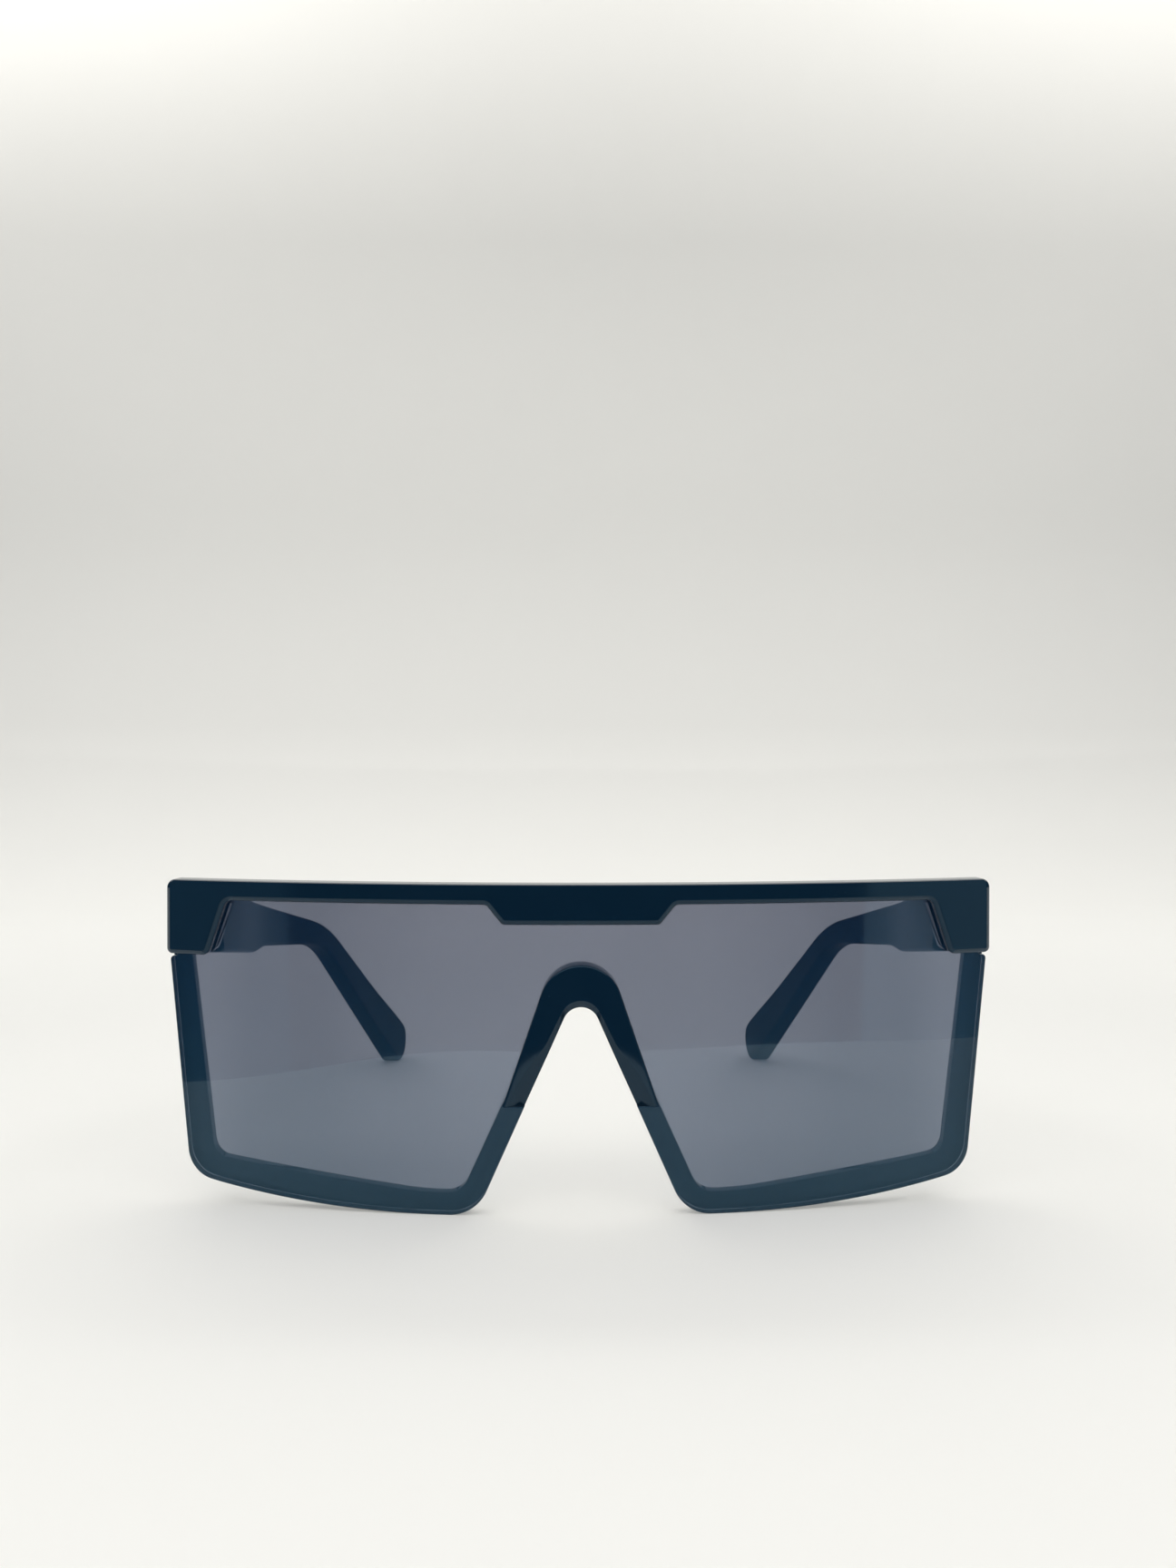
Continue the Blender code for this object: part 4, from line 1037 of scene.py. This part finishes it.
    def sections(self, outer: Array, inner: Array, raised: bool, sink: float,
                 bevel: Array | float) -> Array:
        """Rings across the ribbon at matched points of its two edges.

        Across the ribbon a runs from the outer edge to the opening's edge, d apart. The rear is a
        flat between two quarter ellipses that grow with the pad's reach, and the front is a flat
        between the outer bevel and a quarter round.

        Args:
            outer: Points on the outer edge.
            inner: Matched points on the opening's edge.
            raised: Whether this is the saddle, which comes through the lens.
            sink: How far the front lies back, inside the end blocks.
            bevel: 0 at the saddle's peak and 1 at the seam.

        Returns:
            Array of sections by ring points by (x, y, z).
        """
        across = np.linalg.norm(inner - outer, axis=1)
        z, seam = outer[:, 1], self.seam_z
        swell = smooth_step(z, self.pad_low, seam) * (1 - smooth_step(z, seam, self.pad_high))
        reach = self.pad_reach * swell * (np.abs(outer[:, 0]) < self.lobe_x)
        front, width, drop, inner_round = self.seat + sink, *(self.hidden_edge,) * 3
        if raised:
            reach = reach + self.peak_reach * smooth_step(z, seam, self.pad_high)
            front, inner_round = -self.proud, self.edge_round
            full = across - 2 * self.edge_round
            width = self.bevel_top + (full - self.bevel_top) * bevel
            drop = self.bevel_drop + (self.bevel_drop_at_seam - self.bevel_drop) * bevel
        flare = reach * self.flare_share + self.edge_round
        heel = self.edge_round - reach * self.heel_share
        low, deep = self.back - self.edge_round, reach + self.edge_round
        quarter = np.linspace(0, math.pi / 2, 8)
        ring = [(0.0, front + drop)]
        ring += [(flare * (1 - math.cos(t)), low + deep * math.sin(t)) for t in quarter]
        ring += [(across - heel * (1 - math.cos(t)), low + deep * math.sin(t))
                 for t in quarter[::-1]]
        ring += [(across - inner_round * (1 - math.sin(t)), front + inner_round * (1 - math.cos(t)))
                 for t in np.linspace(math.pi / 2, 0, 6)]
        ring += [(width * share, front + drop * max(0.0, 1 - share))
                 for share in (1.06, 1.0, 0.94, 0.5)]
        layers = [self.curve.place(outer + (inner - outer) * (a / across)[:, None], depth)
                  for a, depth in ring]
        return np.stack(layers, axis=1)

    def build(self) -> Piece:
        """Loft both rims and the saddle from one end block to the other.

        Returns:
            The piece.
        """
        heights = self.block_bottom + self.tail_rise - np.array([0.0, self.tail_step])
        outer, inner = (np.column_stack([np.full(2, self.top_x - inset), heights])
                        for inset in (self.tail_inset, self.side_width))
        rows = [self.sections(outer, inner, False, self.tail_sink, 0.0)]
        for name, (outer, inner, count) in self.stretches().items():
            raised = name == "saddle"
            skip = 0 if name == "side" or raised else 1
            outer, inner = (resample(line, count)[skip:] for line in (outer, inner))
            outer[0, 1] += self.seam_lift * raised
            inner[0, 1] += self.seam_lift * raised
            bevel = 1 - smooth_step(np.linspace(0, 1, len(outer)), 0, self.bevel_run)
            rows.append(self.sections(outer, inner, raised, 0.0, bevel))
        half = np.concatenate(rows)
        rings = np.concatenate([half, half[::-1][1:] * np.array([-1, 1, 1])])
        total, count = rings.shape[:2]
        ends = [np.arange(count)[::-1].tolist(), (np.arange(count) + (total - 1) * count).tolist()]
        return make_piece("rims_and_saddle", self.stance.place(rings.reshape(-1, 3)),
                          band_faces(total, count) + ends, 40)


@dataclass
class ShieldLens(FrontPiece):
    """One-piece lens, whose top edge sits in the brow's groove and which shares the rims' edge."""

    rims: RimRibbon
    brow: BrowBar
    thickness: float = 0.0020
    edge_round: float = 0.0002
    guard: float = 0.0001
    saddle_gap: float = -0.0002
    tuck: float = 0.0008
    shoulder: float = 0.0014
    hidden_round: float = 0.0007
    shoulder_round: float = 0.0003
    spacing: float = 0.0015
    pitch: float = 0.0030
    grid_reach: float = 0.072
    edge_facing: float = 0.6

    def outline(self) -> Array:
        """Front view of the lens: hidden top, shared edge, nose cut and notch.

        Returns:
            The outline's points as rows.
        """
        brow, rims, soft = self.brow, self.rims, self.hidden_round
        slope = (brow.block_foot_x - brow.block_head_x) / (brow.lip - brow.block_bottom)
        foot_x = brow.block_foot_x + self.tuck
        low, high = brow.block_bottom + self.tuck, brow.lip + self.tuck
        corners = [
            (0.0, high, 0.0),
            (foot_x - slope * (high - brow.block_bottom), high, soft),
            (foot_x - slope * (low - brow.block_bottom), low, soft),
            (rims.top_x - self.shoulder, low, soft),
            (rims.top_x - self.shoulder, rims.top, self.shoulder_round),
            (rims.top_x, rims.top, soft),
            (rims.corner_x, float(rims.rise(rims.corner_x)), 0.0),
        ]
        hidden = rounded_outline(corners, 8)[:-1]
        *shared, (_, saddle, _) = rims.stretches().values()
        edge = [resample(line, count * 2)[1:] for line, _, count in shared]
        edge[-1] = np.concatenate([edge[-1][:-3], edge[-1][-1:]])
        saddle = resample(saddle, 60)
        along = np.gradient(saddle, axis=0)
        along /= np.linalg.norm(along, axis=1)[:, None]
        notch = saddle + np.stack([along[:, 1], -along[:, 0]], axis=1) * self.saddle_gap
        notch[:, 1] = np.maximum(notch[:, 1], rims.seam_z)
        notch[-1, 0] = 0
        half = np.concatenate([hidden, *edge, notch])
        left = half[::-1] * np.array([-1, 1])
        return np.concatenate([half, left[left[:, 0] < -MERGE]])

    def build(self) -> Piece:
        """Carry the edge round about the outline.

        Returns:
            The piece.
        """
        rings = edge_rings(self.edge_round, flat_level, 1, self.guard)
        rings += edge_rings(self.edge_round, lambda drop: flat_level(self.thickness + drop), -1,
                            self.guard)[::-1]
        outline = densify(self.outline(), self.spacing)
        points, faces = slab(outline, rings, grid_columns(self.grid_reach), self.pitch,
                             self.curve.place)
        return make_piece("smoke_shield", self.stance.place(points), faces)

    def dress_edge(self, piece: Piece, material: Material) -> None:
        """Give the narrow edge its own material.

        A face belongs to the edge when the product of its normal and the curve's own normal,
        which is (x, -root of R squared less x squared) / R, is small.

        Args:
            piece: The lens, with its main material on.
            material: The edge's material.
        """
        mesh = piece.data
        normals, centres = np.empty((2, len(mesh.polygons) * 3))
        mesh.polygons.foreach_get("normal", normals)
        mesh.polygons.foreach_get("center", centres)
        normals, across = normals.reshape(-1, 3), centres[::3] / self.curve.radius
        facing = np.abs(normals[:, 0] * across - normals[:, 1] * np.sqrt(1 - across ** 2))
        mesh.materials.append(material)
        mesh.polygons.foreach_set("material_index", (facing < self.edge_facing).astype(np.int32))


@dataclass
class Temple:
    """One folding temple: deep base, step, slim arm, ear bend and paddle tip.

    The corners are rows of (reach behind the seat, drop below the brow's top, radius), and
    thinning and thickening the reaches between which the base thins and the tip thickens.
    """

    side: Side
    stance: Stance
    seat_y: float
    brow_top: float = 0.0560
    outer_x: float = 0.0720
    toe_in: float = 0.137
    base: float = 0.0055
    arm: float = 0.0043
    tip: float = 0.0050
    thinning: Pair = (0.0092, 0.0292)
    thickening: Pair = (0.0982, 0.1251)
    edge_round: float = 0.0009
    guard: float = 0.0002
    barrel_radius: float = 0.0018
    notch_clearance: float = 0.0004
    spacing: float = 0.0014
    pitch: float = 0.0015
    grid: Pair = (0.001, 0.132)
    corners: tuple[Triple, ...] = (
        (0.0003, 0.0006, 0.0012), (0.0216, 0.0071, 0.0800), (0.0649, 0.0171, 0.0600),
        (0.1313, 0.0562, 0.0053), (0.1251, 0.0656, 0.0053), (0.0627, 0.0213, 0.0350),
        (0.0278, 0.0168, 0.0140), (0.0220, 0.0173, 0.0120), (0.0050, 0.0147, 0.0040),
        (0.0003, 0.0128, 0.0012))

    @property
    def notch_y(self) -> float:
        """Where the notch for the barrels ends."""
        return self.seat_y + 2 * (self.notch_clearance + self.barrel_radius)

    @property
    def cut_x(self) -> float:
        """Distance of the notch's wall from the centre plane, one clearance past the barrels."""
        reach = self.notch_clearance + self.barrel_radius
        return self.outer_x - self.base - self.toe_in * reach + self.barrel_radius + reach

    def outer_face(self, y: Array) -> Array:
        """Distance of the temple's outer face from the centre plane, which the toe-in narrows."""
        return self.outer_x - self.toe_in * (y - self.seat_y)

    def thickness(self, y: Array) -> Array:
        """Thickness along the temple: the base thins to the arm and the tip thickens again."""
        steps = [smooth_step(y - self.seat_y, *span) for span in (self.thinning, self.thickening)]
        return self.base + (self.arm - self.base) * steps[0] + (self.tip - self.arm) * steps[1]

    def depth(self, share: float, offset: float, flat: Array) -> Array:
        """Depth at a share of the thickness and an offset scaled with it, cut by the notch.

        Args:
            share: 0 on the outer face and 1 on the inner face.
            offset: Further depth where the temple has its arm's thickness.
            flat: Flat points as rows.

        Returns:
            The depth at each.
        """
        y = flat[:, 0]
        thick = self.thickness(y)
        value = thick * share + offset * thick / self.arm
        skin = self.outer_face(y) - self.cut_x
        return np.where(y < self.notch_y, np.minimum(value, skin), value)

    def place(self, flat: Array, depth: Array) -> Array:
        """Stand flat (y, z) points up at a depth behind the outer face, on the temple's side."""
        x = self.outer_face(flat[:, 0]) - depth
        return np.column_stack([x * self.side.value, flat[:, 0], flat[:, 1]])

    def build(self) -> Piece:
        """Carry the edge round about the outline, scaled with the thickness, and cut the notch.

        Returns:
            The piece.
        """
        corners = [(self.seat_y + reach, self.brow_top - drop, radius)
                   for reach, drop, radius in self.corners]
        step = (self.notch_y - EDGE, self.notch_y + EDGE)
        outline = densify(rounded_outline(corners, 16), self.spacing, step)
        near, far = (edge_rings(self.edge_round, partial(partial, self.depth, share), sign,
                                self.guard, 7) for share, sign in ((0, 1), (1, -1)))
        rings = near + far[::-1]
        first, last = (self.seat_y + reach for reach in self.grid)
        columns = np.append(np.arange(first, last, COLUMN_STEP), step)
        points, faces = slab(outline, rings, columns, self.pitch, self.place)
        return make_piece(f"moulded_temple_{self.side.label}", self.stance.place(points), faces)


@dataclass
class Studio:
    """Pale paper sweep, soft lights and the camera at the photograph's viewing angle.

    The focal length counts pixels of a picture as wide as picture_width. Gloss mirrors the floor
    from mirrored_front on, and far to the left and right from mirrored_rise further back, half
    of it at mirrored_half. The room has a colour where it is seen, one in gloss and one as light.
    """

    camera_at: Triple = (-0.00195, -0.27143, 0.06343)
    focal_px: float = 1298.0
    pitch_deg: float = 2.65
    yaw_deg: float = 0.90
    picture_width: int = 1296
    sensor_width: float = 36.0
    floor_front: float = -1.0
    mirrored_front: float = -0.1665
    mirrored_rise: Pair = (0.100, 0.070)
    mirrored_half: Pair = (0.115, 0.160)
    floor_back: float = 0.75
    sweep_radius: float = 0.50
    wall_top: float = 1.9
    half_width: float = 1.8
    fine_half: float = 0.3
    fine_end: float = 0.32
    seen_room: Triple = (0.74, 0.74, 0.72)
    soft_room: Triple = (0.200, 0.206, 0.214)
    gloss_room: Triple = (0.030, 0.075, 0.130)
    warm: Triple = (1.0, 0.975, 0.925)

    def mirrored_end(self, across: Array) -> Array:
        """Front end of the mirrored floor: front + rise (1 - 1 / (1 + (x / half) to the 4th))."""
        rise, half = (np.where(across < 0, *pair)
                      for pair in (self.mirrored_rise, self.mirrored_half))
        return self.mirrored_front + rise * (1 - 1 / (1 + (across / half) ** 4))

    def add_paper(self, name: str, columns: Array, y: Array, z: Array, paper: Material) -> Piece:
        """Add a sheet of paper from a grid of points.

        Args:
            name: The sheet's name.
            columns: Its x stations.
            y: Depth at each row and station.
            z: Height at each row and station.
            paper: Its material.

        Returns:
            The sheet.
        """
        rows, count = y.shape
        points = np.stack([np.broadcast_to(columns, y.shape), y, z], axis=2).reshape(-1, 3)
        faces = np.reshape(band_faces(rows, count), (rows - 1, count, 4))[:, :-1].reshape(-1, 4)
        mesh = bpy.data.meshes.new(name)
        mesh.from_pydata(points.tolist(), [], faces.tolist())
        mesh.shade_smooth()
        mesh.materials.append(paper)
        sheet = add_object(name, mesh)
        return sheet

    def add_sweep(self) -> None:
        """Floor that curves up into a wall, and the floor's front part, which gloss doesn't mirror.

        The section is flat, then a quarter circle, then upright. Its front end follows
        mirrored_end, and the front part runs on from there.
        """
        paper = StudioPaper().dress()
        outer = np.linspace(self.fine_end, self.half_width, 8)
        inner = np.linspace(-self.fine_half, self.fine_half, 61)
        columns = np.concatenate([-outer[::-1], inner, outer])
        end, flat = self.mirrored_end(columns), 0 * columns
        share = np.linspace(0, 1, 14)[:, None]
        floor_y = end + (self.floor_back - end) * share
        angle = np.linspace(0, math.pi / 2, 25)[1:, None]
        wall_y = self.floor_back + self.sweep_radius
        y = np.concatenate([floor_y, self.floor_back + self.sweep_radius * np.sin(angle) + flat,
                            [wall_y + flat]])
        z = np.concatenate([0 * floor_y, self.sweep_radius * (1 - np.cos(angle)) + flat,
                            [self.wall_top + flat]])
        self.add_paper("paper_sweep", columns, y, z, paper)
        front_y = self.floor_front + (end - self.floor_front) * share
        front = self.add_paper("paper_front", columns, front_y, 0 * front_y, paper)
        front.visible_glossy = False

    def add_light(self, name: str, place: Triple, aim: Triple, size: Pair, power: float,
                  colour: Triple, shadow: bool = True) -> None:
        """Add a soft rectangular light.

        Args:
            name: The light's name.
            place: Where it stands.
            aim: The point that it faces.
            size: Its width and height.
            power: Its power in watts.
            colour: Its colour.
            shadow: Whether it casts shadows.
        """
        lamp = bpy.data.lights.new(name, "AREA")
        lamp.shape = "RECTANGLE"
        lamp.size, lamp.size_y = size
        lamp.energy = power
        lamp.color = colour
        lamp.use_shadow = shadow
        item = add_object(name, lamp)
        item.location = place
        item.rotation_euler = (Vector(aim) - Vector(place)).to_track_quat("-Z", "Y").to_euler()

    def add_room(self) -> None:
        """Surround the table with a soft room, dim and blue in gloss and pale where it is seen."""
        world = bpy.data.worlds.new("room_glow")
        world.use_nodes = True
        tree = world.node_tree
        path = tree.nodes.new("ShaderNodeLightPath")
        target = tree.nodes["Background"].inputs["Color"]
        for ray, colour in (("Is Camera Ray", self.seen_room), ("Is Glossy Ray", self.gloss_room)):
            tone = tree.nodes.new("ShaderNodeMix")
            tone.data_type = "RGBA"
            tone.inputs[6].default_value = (*self.soft_room, 1)
            tone.inputs[7].default_value = (*colour, 1)
            tree.links.new(path.outputs[ray], tone.inputs[0])
            tree.links.new(tone.outputs[2], target)
            target = tone.inputs[6]
        bpy.context.scene.world = world

    def add_camera(self) -> None:
        """Place the camera where the photograph was taken from."""
        lens = bpy.data.cameras.new("photo_camera")
        lens.sensor_fit = "HORIZONTAL"
        lens.sensor_width = self.sensor_width
        lens.lens = self.focal_px / self.picture_width * self.sensor_width
        lens.clip_start = 0.01
        camera = add_object("photo_camera", lens)
        camera.location = self.camera_at
        camera.rotation_euler = (math.radians(90 + self.pitch_deg), 0, -math.radians(self.yaw_deg))
        bpy.context.scene.camera = camera

    def build(self) -> None:
        """Set up the sweep, the lights, the room's glow and the camera."""
        self.add_sweep()
        self.add_light("overhead_soft", (0.0, -0.02, 0.85), (0, -0.02, 0), (1.0, 1.0), 1.2,
                       self.warm)
        self.add_light("overhead_fill", (0.0, -0.13, 0.85), (0, -0.13, 0), (1.8, 1.6), 15.2,
                       (1.0, 0.985, 0.955), False)
        self.add_light("front_soft", (0.0, -1.0, 1.0), (0, -0.1, 0), (1.4, 0.7), 1.6, self.warm,
                       False)
        for side, wall, glow, tint in ((Side.LEFT, 14.0, 0.30, (0.6, 0.95, 1.1)),
                                       (Side.RIGHT, 12.2, 0.78, (0.8, 1.0, 1.0))):
            x = side.value
            self.add_light(f"wall_{side.label}", (x, 0.6, 1.75), (1.1 * x, 1.25, 1.45),
                           (1.6, 0.4), wall, self.warm)
            self.add_light(f"glow_{side.label}", (1.05 * x, -0.80, -0.1), (0, 0, 0),
                           (0.7, 0.8), glow, tint)
        self.add_room()
        bpy.context.scene.view_settings.view_transform = "Standard"
        self.add_camera()


def wear(item: Piece, material: Material) -> None:
    """Put one material on an object in place of what it had."""
    item.data.materials.clear()
    item.data.materials.append(material)


def take_over(piece: Piece, body: str, material: Material, node: str) -> None:
    """Dress a piece, tie it to its body and let it stand for a CAD node.

    Args:
        piece: The piece.
        body: The body that it rides on.
        material: Its material.
        node: The node that it replaces.
    """
    wear(piece, material)
    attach(piece, body)
    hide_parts(node)
    LOG.info("%s: %d faces on %s", piece.name, len(piece.data.polygons), body)


def main() -> None:
    """Load the frame, build and dress each sub-assembly, and set up the studio."""
    logging.basicConfig(level=logging.INFO, format="%(name)s %(message)s")
    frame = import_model()
    stance, curve = Stance(), FaceCurve()
    gloss, satin, smoke = GLOSS_BLACK.dress(), SATIN_BLACK.dress(), SMOKE.dress()
    metal, steel = HINGE_METAL.dress(), SCREW_METAL.dress()
    brow = BrowBar(curve, stance)
    rims = RimRibbon(curve, stance)
    lens = ShieldLens(curve, stance, rims, brow)
    take_over(brow.build(), "front", gloss, "frame_front")
    take_over(rims.build(), "front", gloss, "frame_front")
    shield = lens.build()
    take_over(shield, "front", smoke, "shield_lens")
    lens.dress_edge(shield, SMOKE_EDGE.dress())
    for side in Side:
        arm, node = f"{side.label}_arm", f"temple_{side.label}"
        temple = Temple(side, stance, brow.seat_y)
        take_over(temple.build(), arm, satin, node)
        for kind, material in (("front_leaf", metal), ("temple_leaf", metal), ("screw", steel)):
            carried = f"hinge_{kind}_{side.label}"
            wear(frame["nodes"][carried], material)
            LOG.info("%s keeps its solid", carried)
    Studio().build()


if __name__ == "__main__":
    main()
